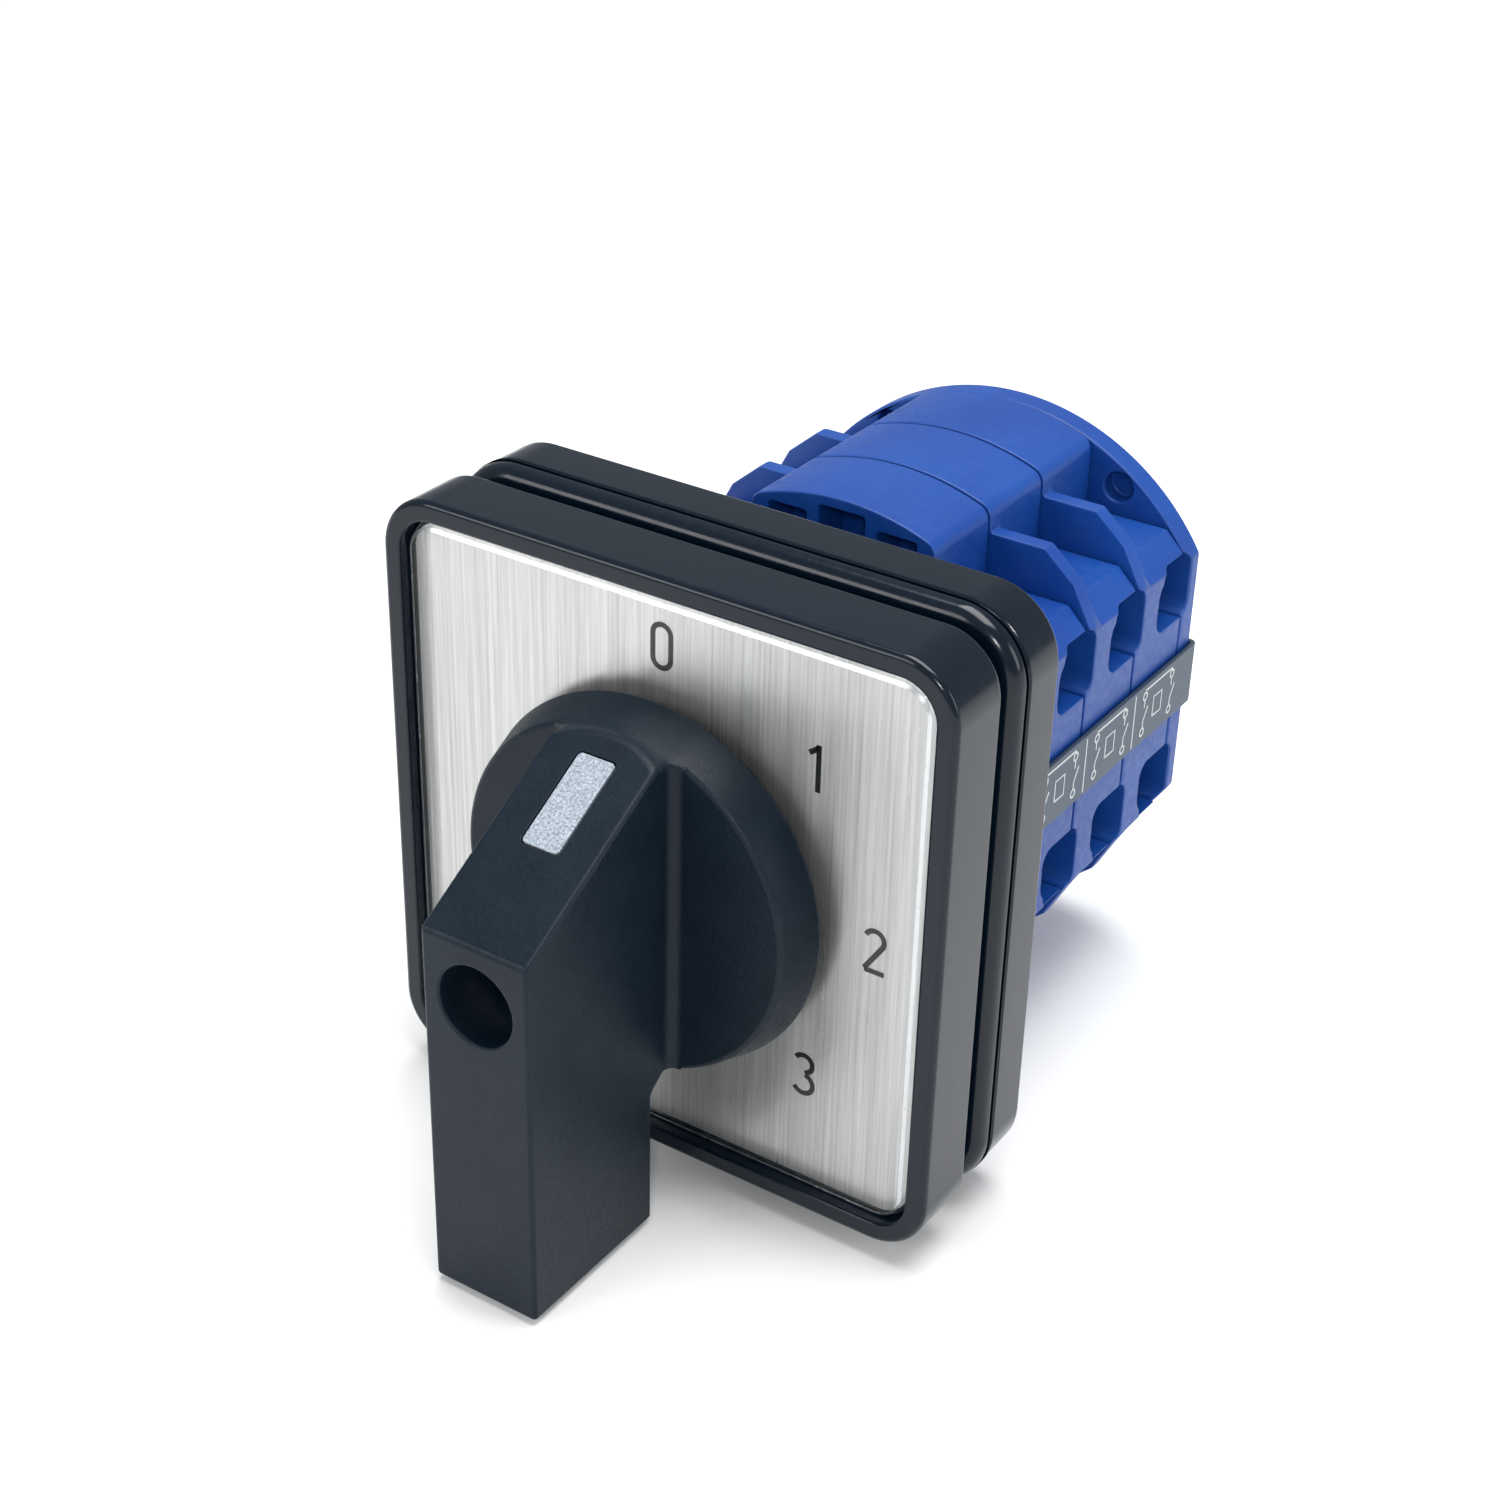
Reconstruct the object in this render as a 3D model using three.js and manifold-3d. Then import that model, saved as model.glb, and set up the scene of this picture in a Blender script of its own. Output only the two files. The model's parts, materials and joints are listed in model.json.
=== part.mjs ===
// A panel-mounted rotary cam switch with three contact stages, a lever handle and four positions.
//
// Millimetres, +Z up. The switch turns about the Y axis: the handle is at the front (-Y), the contact
// stages are at the back (+Y). The origin is on that axis in the plane of the panel's front face,
// which is the rear face of the front frame.
import * as THREE from 'three';
import { mergeVertices } from 'three/addons/utils/BufferGeometryUtils.js';
import Module from 'manifold-3d';

const wasm = await Module();
wasm.setup();

// ---------------------------------------------------------------- driving dimensions

const GAP = 0.3; // clearance between pieces that rest on each other

// Front frame, clear cover and label plate.
const FRAME_SIDE = 64;
const FRAME_DEPTH = 8;
const FRAME_CORNER = 6;
const FRAME_BEVEL = 0.5;
const RIM_WIDTH = 2.2;
const RECESS_DEPTH = 2.2;
const COVER_INSET = 0.5; // from the rim's front face back to the cover's
const COVER_THICKNESS = 1;
const LABEL_THICKNESS = 0.3;
const COVER_HOLE_RADIUS = 8.5;

// Handle.
const SKIRT_REAR_RADIUS = 19.5;
const SKIRT_FRONT_RADIUS = 18.2;
const SKIRT_REAR_Y = -8.1;
const SKIRT_FRONT_Y = -13;
const LEVER_HALF_WIDTH = 6;
const LEVER_FRONT_Y = -34.5;
const LEVER_BACK_Y = -15.9;
const LEVER_BOTTOM_Z = -33.6;
const LEVER_SHOULDER_Z = 6.3; // where the vertical front face meets the slope
const SLOPE_TOP_Z = 17.9;
const WELL_RADIUS = 4.1;
const WELL_FLOOR_Y = -26.2;
const SOCKET_FLOOR_Y = -20.2;
const HANDLE_SCREW_RADIUS = 1.9;
const HANDLE_SCREW_HEAD_RADIUS = 3.5;
const INSERT_WIDTH = 4.1;
const INSERT_LENGTH = 10.2;
const INSERT_THICKNESS = 0.7;
const INSERT_UPHILL = 3.9; // from the slope's middle to the insert's, along the slope

// Rear flange, which clamps the panel against the front frame.
const PANEL_SPACE = 2.5;
const FLANGE_DEPTH = 8;
const FLANGE_CORNER = 7;
const COLLAR_RADIUS = 13.4;
const PANEL_SCREW_SPACING = 48;
const PANEL_SCREW_RADIUS = 1.75;
const PANEL_SCREW_HEAD_RADIUS = 3.5;
const PANEL_SCREW_SEAT_Y = -3.6; // the head's seat in the front frame
const FLANGE_POCKET_DEPTH = 3.5;
const GASKET_SIDE = 56;
const GASKET_THICKNESS = 1.2;

// Index housing behind the flange.
const INDEX_DEPTH = 13.3;
const INDEX_WALL = 2.5;
const INDEX_CORNER_CUT = 8.5;
const POSITION_ANGLE = 45; // degrees between two handle positions
const LAST_POSITION = 3; // positions are counted from 0
const STOP_MARGIN = 17; // degrees from the stop finger's middle to a stop, at either end of its turn

// Contact stages and end plate.
const STAGE_COUNT = 3;
const STAGE_PITCH = 11.2;
const STAGE_START_Y = 24.4;
const STAGE_LENGTH = STAGE_PITCH - GAP;
const BODY_HALF_WIDTH = 23.3;
const BULGE_RADIUS = 27.6;
const BULGE_HALF_WIDTH = 10.9;
const BULGE_CORNER = 1.2;
const STAGE_WALL = 2;
const POCKET_FLOOR_Z = 17.7;
const END_PLATE_RADIUS = 27.4;
const END_PLATE_THICKNESS = 3;
const WINDOW_DEPTH = 5; // of the three blind windows in the front of a stage's bulge
const DIMPLE_RADIUS = 1.7;
const DIMPLE_DEPTH = 2;

// Wire ports: notches in the side faces, open to the rear of each stage and closed by a shallow
// rounded notch, their mouth, in the front of the next stage or of the end plate.
const PORT_WIDTH = 6;
const PORT_LOW_Z = 8;
const PORT_HIGH_Z = 15.4;
const PORT_FLOOR_X = 10.8;
const PORT_MOUTH_DEPTH = 1.2;
const PORT_MOUTH_FLOOR_X = 17;

// Rotor.
const SHAFT_SIDE = 7;
const SOCKET_SIDE = SHAFT_SIDE + 2 * GAP;
const JOURNAL_RADIUS = 5.2;
const TAIL_RADIUS = 3.2;
const CAM_RADIUS = 9;
const CAM_NOTCH_DEPTH = 1.4;

// Tie bolts through the stages: two, on a diagonal.
const TIE_BOLT_X = 7.5;
const TIE_BOLT_Z = 18;
const TIE_BOLT_RADIUS = 1.7;

// ---------------------------------------------------------------- derived places

const FRAME_FRONT_Y = -FRAME_DEPTH;
const RECESS_FLOOR_Y = FRAME_FRONT_Y + RECESS_DEPTH;
const RECESS_SIDE = FRAME_SIDE - 2 * RIM_WIDTH;
const COVER_FRONT_Y = FRAME_FRONT_Y + COVER_INSET;
const LABEL_FRONT_Y = COVER_FRONT_Y + COVER_THICKNESS + GAP / 2;
const FLANGE_REAR_Y = PANEL_SPACE + FLANGE_DEPTH;
const INDEX_FRONT_Y = FLANGE_REAR_Y + GAP;
const INDEX_REAR_Y = INDEX_FRONT_Y + INDEX_DEPTH;
const END_PLATE_FRONT_Y = STAGE_START_Y + STAGE_COUNT * STAGE_PITCH;
const END_PLATE_REAR_Y = END_PLATE_FRONT_Y + END_PLATE_THICKNESS;
const FINE = 20; // steps round a visible curve
const COARSE = 10; // steps round a hidden one

// ---------------------------------------------------------------- materials

function finish(color, roughness, metalness = 0) {
  return new THREE.MeshStandardMaterial({ color, roughness, metalness });
}

const blackTextured = finish(0x1c2227, 0.6);
const blackSatin = finish(0x1a1d20, 0.3);
const clear = new THREE.MeshStandardMaterial({
  color: 0xeef2f4, roughness: 0.05, metalness: 0, transparent: true, opacity: 0.3,
});
const brushedAluminium = finish(0xc9c9c7, 0.35, 0.9);
const silverInsert = finish(0xbcc4cc, 0.5, 0.5);
const blue = finish(0x2f4fc4, 0.4);
const steel = finish(0x9a9ea2, 0.35, 0.9);
const brass = finish(0xb89850, 0.35, 0.9);
const silverAlloy = finish(0xcfd2d4, 0.3, 0.9);
const ivoryPlastic = finish(0xd9d5c8, 0.5);
const darkRubber = finish(0x141516, 0.85);

// ---------------------------------------------------------------- shape helpers

// A closed geometry as a solid that can be cut and joined.
function solid(geometry) {
  const loose = geometry.index ? geometry.toNonIndexed() : geometry;
  const bare = new THREE.BufferGeometry();
  bare.setAttribute('position', loose.getAttribute('position'));
  const merged = mergeVertices(bare);
  return new wasm.Manifold(new wasm.Mesh({
    numProp: 3,
    vertProperties: new Float32Array(merged.attributes.position.array),
    triVerts: new Uint32Array(merged.index.array),
  }));
}

function geometryOf(body) {
  const { numProp, numVert, vertProperties, triVerts } = body.getMesh();
  const positions = new Float32Array(numVert * 3);
  for (let i = 0; i < numVert; i += 1) {
    positions.set(vertProperties.subarray(i * numProp, i * numProp + 3), i * 3);
  }
  const geometry = new THREE.BufferGeometry();
  geometry.setAttribute('position', new THREE.BufferAttribute(positions, 3));
  geometry.setIndex(new THREE.BufferAttribute(new Uint32Array(triVerts), 1));
  geometry.computeVertexNormals();
  return geometry;
}

function join(...geometries) {
  return geometries.map(solid).reduce((whole, piece) => whole.add(piece));
}

function cut(body, ...tools) {
  return tools.map(solid).reduce((rest, tool) => rest.subtract(tool), body);
}

// A straight-sided block between two corners, given in any order.
function block([xa, ya, za], [xb, yb, zb]) {
  const box = new THREE.BoxGeometry(Math.abs(xb - xa), Math.abs(yb - ya), Math.abs(zb - za));
  return box.translate((xa + xb) / 2, (ya + yb) / 2, (za + zb) / 2);
}

// Rods along the three axes, from one end to the other.
function rodY(radius, y0, y1, x = 0, z = 0, steps = COARSE) {
  const rod = new THREE.CylinderGeometry(radius, radius, y1 - y0, steps);
  return rod.translate(x, (y0 + y1) / 2, z);
}

function rodX(radius, x0, x1, y = 0, z = 0, steps = COARSE) {
  const rod = new THREE.CylinderGeometry(radius, radius, Math.abs(x1 - x0), steps);
  return rod.rotateZ(Math.PI / 2).translate((x0 + x1) / 2, y, z);
}

function rodZ(radius, z0, z1, x = 0, y = 0, steps = COARSE) {
  const rod = new THREE.CylinderGeometry(radius, radius, Math.abs(z1 - z0), steps);
  return rod.rotateX(Math.PI / 2).translate(x, y, (z0 + z1) / 2);
}

// An outline in (x, z) swept along the switch's axis from y0 to y1.
function slab(shape, y0, y1, steps = 4) {
  const swept = new THREE.ExtrudeGeometry(shape, {
    depth: y1 - y0, bevelEnabled: false, curveSegments: steps,
  });
  return swept.rotateX(Math.PI / 2).translate(0, y1, 0);
}

// The same, with its edges at both ends eased by a bevel.
function bevelledSlab(shape, y0, y1, bevel, steps = 4) {
  const swept = new THREE.ExtrudeGeometry(shape, {
    depth: y1 - y0 - 2 * bevel,
    bevelThickness: bevel,
    bevelSize: bevel,
    bevelOffset: -bevel,
    bevelSegments: 1,
    curveSegments: steps,
  });
  return swept.rotateX(Math.PI / 2).translate(0, y1 - bevel, 0);
}

// Turns a sweep along its own third axis so that an outline drawn in (y, z) is swept along X.
function alongX(swept) {
  return swept.applyMatrix4(new THREE.Matrix4().makeBasis(
    new THREE.Vector3(0, 1, 0), new THREE.Vector3(0, 0, 1), new THREE.Vector3(1, 0, 0),
  ));
}

function roundedRectangle(width, height, radius) {
  const x = width / 2 - radius;
  const z = height / 2 - radius;
  const shape = new THREE.Shape();
  shape.absarc(x, z, radius, 0, Math.PI / 2);
  shape.absarc(-x, z, radius, Math.PI / 2, Math.PI);
  shape.absarc(-x, -z, radius, Math.PI, 1.5 * Math.PI);
  shape.absarc(x, -z, radius, 1.5 * Math.PI, 2 * Math.PI);
  return shape;
}

function polygon(points) {
  return new THREE.Shape(points.map(([x, z]) => new THREE.Vector2(x, z)));
}

// A full outline from its upper right quarter, listed from the top centre to the right centre.
function fourfold(quarter) {
  const inner = quarter.slice(1, -1);
  const [, top] = quarter[0];
  const [side] = quarter[quarter.length - 1];
  const mirrored = (sx, sz) => inner.map(([x, z]) => [sx * x, sz * z]);
  return polygon([
    [0, top], ...mirrored(1, 1), [side, 0], ...mirrored(1, -1).reverse(),
    [0, -top], ...mirrored(-1, -1), [-side, 0], ...mirrored(-1, 1).reverse(),
  ]);
}

// Points on a circle round the axis, from x = 0 to x = end, in the upper right quarter.
function crownPoints(radius, end, steps) {
  return Array.from({ length: steps + 1 }, (_, i) => {
    const x = (end * i) / steps;
    return [x, Math.sqrt(radius * radius - x * x)];
  });
}

// A closed outline round the axis whose radius is a function of the angle from +Z towards +X.
function polarOutline(radiusAt, steps) {
  return polygon(Array.from({ length: steps }, (_, i) => {
    const angle = (2 * Math.PI * i) / steps;
    return [radiusAt(angle) * Math.sin(angle), radiusAt(angle) * Math.cos(angle)];
  }));
}

function squareBar(side, y0, y1) {
  return block([-side / 2, y0, -side / 2], [side / 2, y1, side / 2]);
}

class Helix extends THREE.Curve {
  constructor(radius, length, turns) {
    super();
    Object.assign(this, { radius, length, turns });
  }

  getPoint(t, target = new THREE.Vector3()) {
    const angle = 2 * Math.PI * this.turns * t;
    return target.set(t * this.length, this.radius * Math.cos(angle), this.radius * Math.sin(angle));
  }
}

// A compression spring whose axis runs along +X from x = 0.
function springGeometry(radius, length, wire, turns) {
  const section = new THREE.Shape();
  section.absarc(0, 0, wire / 2, 0, 2 * Math.PI);
  return new THREE.ExtrudeGeometry(section, {
    extrudePath: new Helix(radius, length, turns), steps: turns * 8, curveSegments: 2,
  });
}

function named(name, shape, material) {
  const geometry = shape instanceof THREE.BufferGeometry ? shape : geometryOf(shape);
  const mesh = new THREE.Mesh(geometry, material);
  mesh.name = name;
  return mesh;
}

// ---------------------------------------------------------------- front of panel

const SCREW_PLACES = [[1, 1], [1, -1], [-1, -1], [-1, 1]].map(
  ([sx, sz]) => [(sx * PANEL_SCREW_SPACING) / 2, (sz * PANEL_SCREW_SPACING) / 2],
);

function frontFrame() {
  const outer = roundedRectangle(FRAME_SIDE, FRAME_SIDE, FRAME_CORNER);
  const inner = roundedRectangle(RECESS_SIDE, RECESS_SIDE, FRAME_CORNER - RIM_WIDTH);
  const headSeats = SCREW_PLACES.map(([x, z]) => rodY(
    PANEL_SCREW_HEAD_RADIUS + 0.4, RECESS_FLOOR_Y - 1, PANEL_SCREW_SEAT_Y, x, z,
  ));
  const screwHoles = SCREW_PLACES.map(([x, z]) => rodY(
    PANEL_SCREW_RADIUS + 0.35, PANEL_SCREW_SEAT_Y - 1, 1, x, z,
  ));
  return cut(
    join(bevelledSlab(outer, FRAME_FRONT_Y, 0, FRAME_BEVEL)),
    slab(inner, FRAME_FRONT_Y - 1, RECESS_FLOOR_Y),
    rodY(COLLAR_RADIUS + 2 * GAP, FRAME_FRONT_Y, 1, 0, 0, FINE),
    ...headSeats,
    ...screwHoles,
  );
}

function clearCover() {
  const side = RECESS_SIDE - 2 * GAP;
  const outer = roundedRectangle(side, side, FRAME_CORNER - RIM_WIDTH - GAP);
  const rear = COVER_FRONT_Y + COVER_THICKNESS;
  return cut(
    join(bevelledSlab(outer, COVER_FRONT_Y, rear, 0.4)),
    rodY(COVER_HOLE_RADIUS, COVER_FRONT_Y - 1, rear + 1, 0, 0, FINE),
  );
}

function labelPlate() {
  const side = RECESS_SIDE - 4 * GAP;
  const outer = roundedRectangle(side, side, FRAME_CORNER - RIM_WIDTH - 2 * GAP);
  const rear = LABEL_FRONT_Y + LABEL_THICKNESS;
  return cut(
    join(slab(outer, LABEL_FRONT_Y, rear)),
    rodY(COVER_HOLE_RADIUS, LABEL_FRONT_Y - 1, rear + 1, 0, 0, FINE),
  );
}

function panelScrew() {
  const seat = PANEL_SCREW_SEAT_Y - GAP;
  return join(
    rodY(PANEL_SCREW_HEAD_RADIUS, seat - 1.7, seat),
    rodY(PANEL_SCREW_RADIUS, seat - 0.1, FLANGE_REAR_Y - 1.2),
  );
}

function panelGasket() {
  const outer = roundedRectangle(GASKET_SIDE, GASKET_SIDE, FRAME_CORNER - 1);
  const screwHoles = SCREW_PLACES.map(([x, z]) => rodY(PANEL_SCREW_RADIUS + 0.85, 0, 2, x, z));
  return cut(
    join(slab(outer, GAP, GAP + GASKET_THICKNESS)),
    rodY(COLLAR_RADIUS + GAP, 0, 2, 0, 0, FINE),
    ...screwHoles,
  );
}

// ---------------------------------------------------------------- handle and rotor

const SLOPE_ANGLE = Math.atan2(SLOPE_TOP_Z - LEVER_SHOULDER_Z, SKIRT_FRONT_Y - LEVER_FRONT_Y);
const SLOPE_MIDDLE_Y = (SKIRT_FRONT_Y + LEVER_FRONT_Y) / 2;
const SLOPE_MIDDLE_Z = (SLOPE_TOP_Z + LEVER_SHOULDER_Z) / 2;

// The lever's block, whose slope runs back over the skirt.
function leverBlock() {
  const back = SKIRT_REAR_Y - 2;
  const profile = polygon([
    [back, SLOPE_TOP_Z + (back - SKIRT_FRONT_Y) * Math.tan(SLOPE_ANGLE)],
    [LEVER_FRONT_Y, LEVER_SHOULDER_Z],
    [LEVER_FRONT_Y, LEVER_BOTTOM_Z],
    [LEVER_BACK_Y, LEVER_BOTTOM_Z],
    [LEVER_BACK_Y, -18.6],
    [SKIRT_FRONT_Y, -16.6],
    [back, -14],
  ]);
  const bevel = 0.5;
  const swept = new THREE.ExtrudeGeometry(profile, {
    depth: 2 * (LEVER_HALF_WIDTH - bevel),
    bevelThickness: bevel,
    bevelSize: bevel,
    bevelOffset: -bevel,
    bevelSegments: 1,
  });
  return alongX(swept.translate(0, 0, bevel - LEVER_HALF_WIDTH));
}

// The lever with its upper end trimmed to the round of the skirt.
function lever() {
  const round = new THREE.LatheGeometry([
    new THREE.Vector2(0, LEVER_FRONT_Y - 2),
    new THREE.Vector2(SKIRT_FRONT_RADIUS, LEVER_FRONT_Y - 2),
    new THREE.Vector2(SKIRT_FRONT_RADIUS, SKIRT_FRONT_Y),
    new THREE.Vector2(SKIRT_REAR_RADIUS, SKIRT_REAR_Y - 0.5),
    new THREE.Vector2(0, SKIRT_REAR_Y - 0.5),
  ], 2 * FINE);
  const upperHalf = block([-8, LEVER_FRONT_Y - 1, 1], [8, SKIRT_REAR_Y - 1, SKIRT_REAR_RADIUS + 1]);
  return join(leverBlock()).subtract(cut(join(upperHalf), round));
}

// A rounded bar lying in the slope of the handle, its outer face level with the slope.
function pointerBar(width, length, thickness, proud) {
  const bar = new THREE.ExtrudeGeometry(roundedRectangle(width, length, 0.7), {
    depth: thickness, bevelEnabled: false, curveSegments: 3,
  });
  return bar
    .translate(0, INSERT_UPHILL, proud - thickness)
    .rotateX(SLOPE_ANGLE)
    .translate(0, SLOPE_MIDDLE_Y, SLOPE_MIDDLE_Z);
}

function handle() {
  const skirt = new THREE.LatheGeometry([
    new THREE.Vector2(0, SKIRT_FRONT_Y),
    new THREE.Vector2(SKIRT_FRONT_RADIUS, SKIRT_FRONT_Y),
    new THREE.Vector2(SKIRT_REAR_RADIUS, SKIRT_REAR_Y - 0.5),
    new THREE.Vector2(SKIRT_REAR_RADIUS, SKIRT_REAR_Y),
    new THREE.Vector2(0, SKIRT_REAR_Y),
  ], 2 * FINE);
  const hollow = new THREE.LatheGeometry([
    new THREE.Vector2(8, SKIRT_REAR_Y - 3),
    new THREE.Vector2(17, SKIRT_REAR_Y - 3),
    new THREE.Vector2(17, SKIRT_REAR_Y + 1),
    new THREE.Vector2(8, SKIRT_REAR_Y + 1),
    new THREE.Vector2(8, SKIRT_REAR_Y - 3),
  ], FINE);
  return cut(
    join(skirt).add(lever()),
    hollow,
    rodY(WELL_RADIUS, LEVER_FRONT_Y - 1, WELL_FLOOR_Y, 0, 0, FINE),
    rodY(HANDLE_SCREW_RADIUS + 0.4, WELL_FLOOR_Y - 1, SKIRT_REAR_Y),
    squareBar(SOCKET_SIDE, SOCKET_FLOOR_Y, SKIRT_REAR_Y + 1),
    pointerBar(INSERT_WIDTH + 2 * GAP, INSERT_LENGTH + 2 * GAP, INSERT_THICKNESS + 0.9, 0.6),
  );
}

function handleScrew() {
  const top = WELL_FLOOR_Y - 2.6;
  return cut(
    join(
      rodY(HANDLE_SCREW_HEAD_RADIUS, top, WELL_FLOOR_Y - GAP, 0, 0, FINE),
      rodY(HANDLE_SCREW_RADIUS, WELL_FLOOR_Y - 1, SKIRT_FRONT_Y + 1),
    ),
    block([-2.5, top - 1, -0.4], [2.5, top + 1, 0.4]),
    block([-0.4, top - 1, -2.5], [0.4, top + 1, 2.5]),
  );
}

function driveShaft() {
  return cut(
    join(
      squareBar(SHAFT_SIDE, SOCKET_FLOOR_Y + 0.5, END_PLATE_FRONT_Y - 0.4),
      rodY(JOURNAL_RADIUS, RECESS_FLOOR_Y, INDEX_FRONT_Y - GAP, 0, 0, FINE),
      rodY(TAIL_RADIUS, END_PLATE_FRONT_Y - 1, END_PLATE_REAR_Y - GAP, 0, 0, FINE),
    ),
    rodY(HANDLE_SCREW_RADIUS + 0.4, SOCKET_FLOOR_Y - 1, SKIRT_FRONT_Y + 2),
  );
}

const LOBE_RADIUS = 11.2;
const LOBE_DEPTH = 0.8;

function indexWheel() {
  const lobes = 360 / POSITION_ANGLE;
  const star = polarOutline((a) => LOBE_RADIUS - LOBE_DEPTH * (1 + Math.cos(lobes * a)) * 0.5, 48);
  return cut(
    join(slab(star, INDEX_FRONT_Y + 2.4, INDEX_FRONT_Y + 7.6)),
    squareBar(SOCKET_SIDE, INDEX_FRONT_Y, INDEX_REAR_Y),
  );
}

// A hub with one radial finger, which points down when the handle is at its first position.
function stopPlate() {
  const front = INDEX_FRONT_Y + 8;
  return cut(
    join(rodY(8.6, front, front + 2.4, 0, 0, FINE), block([-2, front, -15.2], [2, front + 2.4, 0])),
    squareBar(SOCKET_SIDE, front - 1, front + 4),
  );
}

// A cam disc with one notch for each of its two contacts, cut where that contact is to close.
function cam(closedPosition) {
  const halfNotch = THREE.MathUtils.degToRad(24);
  const centre = THREE.MathUtils.degToRad(90 - POSITION_ANGLE * closedPosition);
  const radiusAt = (angle) => {
    const away = Math.abs(Math.asin(Math.sin(angle - centre)));
    const rise = THREE.MathUtils.smoothstep(away, halfNotch / 2, halfNotch);
    return CAM_RADIUS - CAM_NOTCH_DEPTH * (1 - rise);
  };
  return cut(
    join(slab(polarOutline(radiusAt, 48), 2.7, STAGE_LENGTH - 1)),
    squareBar(SOCKET_SIDE, 0, STAGE_LENGTH),
  );
}

// ---------------------------------------------------------------- behind the panel

function rearFlange() {
  const outer = roundedRectangle(FRAME_SIDE, FRAME_SIDE, FLANGE_CORNER);
  const pocket = roundedRectangle(FRAME_SIDE - 6, FRAME_SIDE - 6, FLANGE_CORNER - 3);
  const backing = roundedRectangle(2 * BODY_HALF_WIDTH + 1, 2 * BODY_HALF_WIDTH + 1, 5);
  const floor = FLANGE_REAR_Y - FLANGE_POCKET_DEPTH;
  const pocketRing = cut(
    join(slab(pocket, floor, FLANGE_REAR_Y + 1)),
    slab(backing, floor - 1, FLANGE_REAR_Y + 2),
    ...SCREW_PLACES.map(([x, z]) => rodY(4.6, floor - 1, FLANGE_REAR_Y + 2, x, z)),
  );
  return cut(
    join(
      bevelledSlab(outer, PANEL_SPACE, FLANGE_REAR_Y, 0.9),
      rodY(COLLAR_RADIUS, -5.4, PANEL_SPACE + 1, 0, 0, FINE),
    ).subtract(pocketRing),
    rodY(JOURNAL_RADIUS + GAP, -6, FLANGE_REAR_Y + 1, 0, 0, FINE),
    ...SCREW_PLACES.map(([x, z]) => rodY(
      PANEL_SCREW_RADIUS + GAP, PANEL_SPACE - 1, FLANGE_REAR_Y + 1, x, z,
    )),
  );
}

// A square outline with its four corners cut off.
function choppedSquare(half, chop) {
  return fourfold([[0, half], [half - chop, half], [half, half - chop], [half, 0]]);
}

function indexHousing() {
  const half = BODY_HALF_WIDTH;
  const front = INDEX_FRONT_Y;
  const chamberFloor = front + 1.6;
  const rear = INDEX_REAR_Y + 1;
  const guides = [];
  for (const side of [1, -1]) {
    for (const end of [1, -1]) {
      guides.push(block(
        [side * 3.4, front + 1, end * 12.6], [side * 5.2, front + 7.6, end * (half - 1.8)],
      ));
    }
    guides.push(rodY(3.3, front + 1, INDEX_REAR_Y, side * TIE_BOLT_X, side * TIE_BOLT_Z));
  }
  for (const degrees of [180 - STOP_MARGIN, 180 + LAST_POSITION * POSITION_ANGLE + STOP_MARGIN]) {
    const angle = THREE.MathUtils.degToRad(degrees);
    const reach = (half - 1) / Math.max(Math.abs(Math.sin(angle)), Math.abs(Math.cos(angle)));
    guides.push(block([-1.2, front + 7.9, 13.2], [1.2, front + 10.6, reach]).rotateY(angle));
  }
  const shell = cut(
    join(slab(choppedSquare(half, INDEX_CORNER_CUT), front, INDEX_REAR_Y)),
    slab(choppedSquare(half - INDEX_WALL, INDEX_CORNER_CUT - 1), chamberFloor, rear),
  );
  return cut(
    guides.map(solid).reduce((whole, guide) => whole.add(guide), shell),
    rodY(JOURNAL_RADIUS + 2 * GAP, front - 1, chamberFloor + 1, 0, 0, FINE),
    ...[1, -1].map((side) => rodY(
      TIE_BOLT_RADIUS + GAP, front + 2.5, rear, side * TIE_BOLT_X, side * TIE_BOLT_Z,
    )),
  );
}

// A spring-loaded follower that rides on the index wheel. It points at the axis from above.
const FOLLOWER_TIP_Z = LOBE_RADIUS + GAP;

function indexPlunger() {
  const y0 = INDEX_FRONT_Y + 2.4;
  const y1 = INDEX_FRONT_Y + 7.2;
  return join(
    block([-3, y0, FOLLOWER_TIP_Z + 1.5], [3, y1, FOLLOWER_TIP_Z + 4]),
    rodY(1.6, y0, y1, 0, FOLLOWER_TIP_Z + 1.6),
  );
}

function indexSpring() {
  const start = FOLLOWER_TIP_Z + 4 + GAP;
  const length = BODY_HALF_WIDTH - INDEX_WALL - GAP - 0.7 - start;
  return springGeometry(1.7, length, 0.6, 4)
    .rotateY(-Math.PI / 2)
    .translate(0, INDEX_FRONT_Y + 4.8, start + 0.35);
}

// ---------------------------------------------------------------- contact stages

// The upper right quarter of a stage: the central bulge, then the given points down to the side.
function stageOutline(...shoulder) {
  const crown = crownPoints(BULGE_RADIUS, BULGE_HALF_WIDTH - BULGE_CORNER, 4);
  const cornerZ = crown[crown.length - 1][1] - BULGE_CORNER;
  return fourfold([...crown, [BULGE_HALF_WIDTH, cornerZ], ...shoulder, [BODY_HALF_WIDTH, 0]]);
}

const SIDE_CORNER = [BODY_HALF_WIDTH, 15];

// An outline in (y, z) swept from outside a side face down to x = floorX.
function sunkFromSide(outline, side, floorX) {
  const depth = BODY_HALF_WIDTH + 1 - floorX;
  const swept = new THREE.ExtrudeGeometry(outline, { depth, bevelEnabled: false });
  return alongX(swept).translate(side > 0 ? floorX : -floorX - depth, 0, 0);
}

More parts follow.
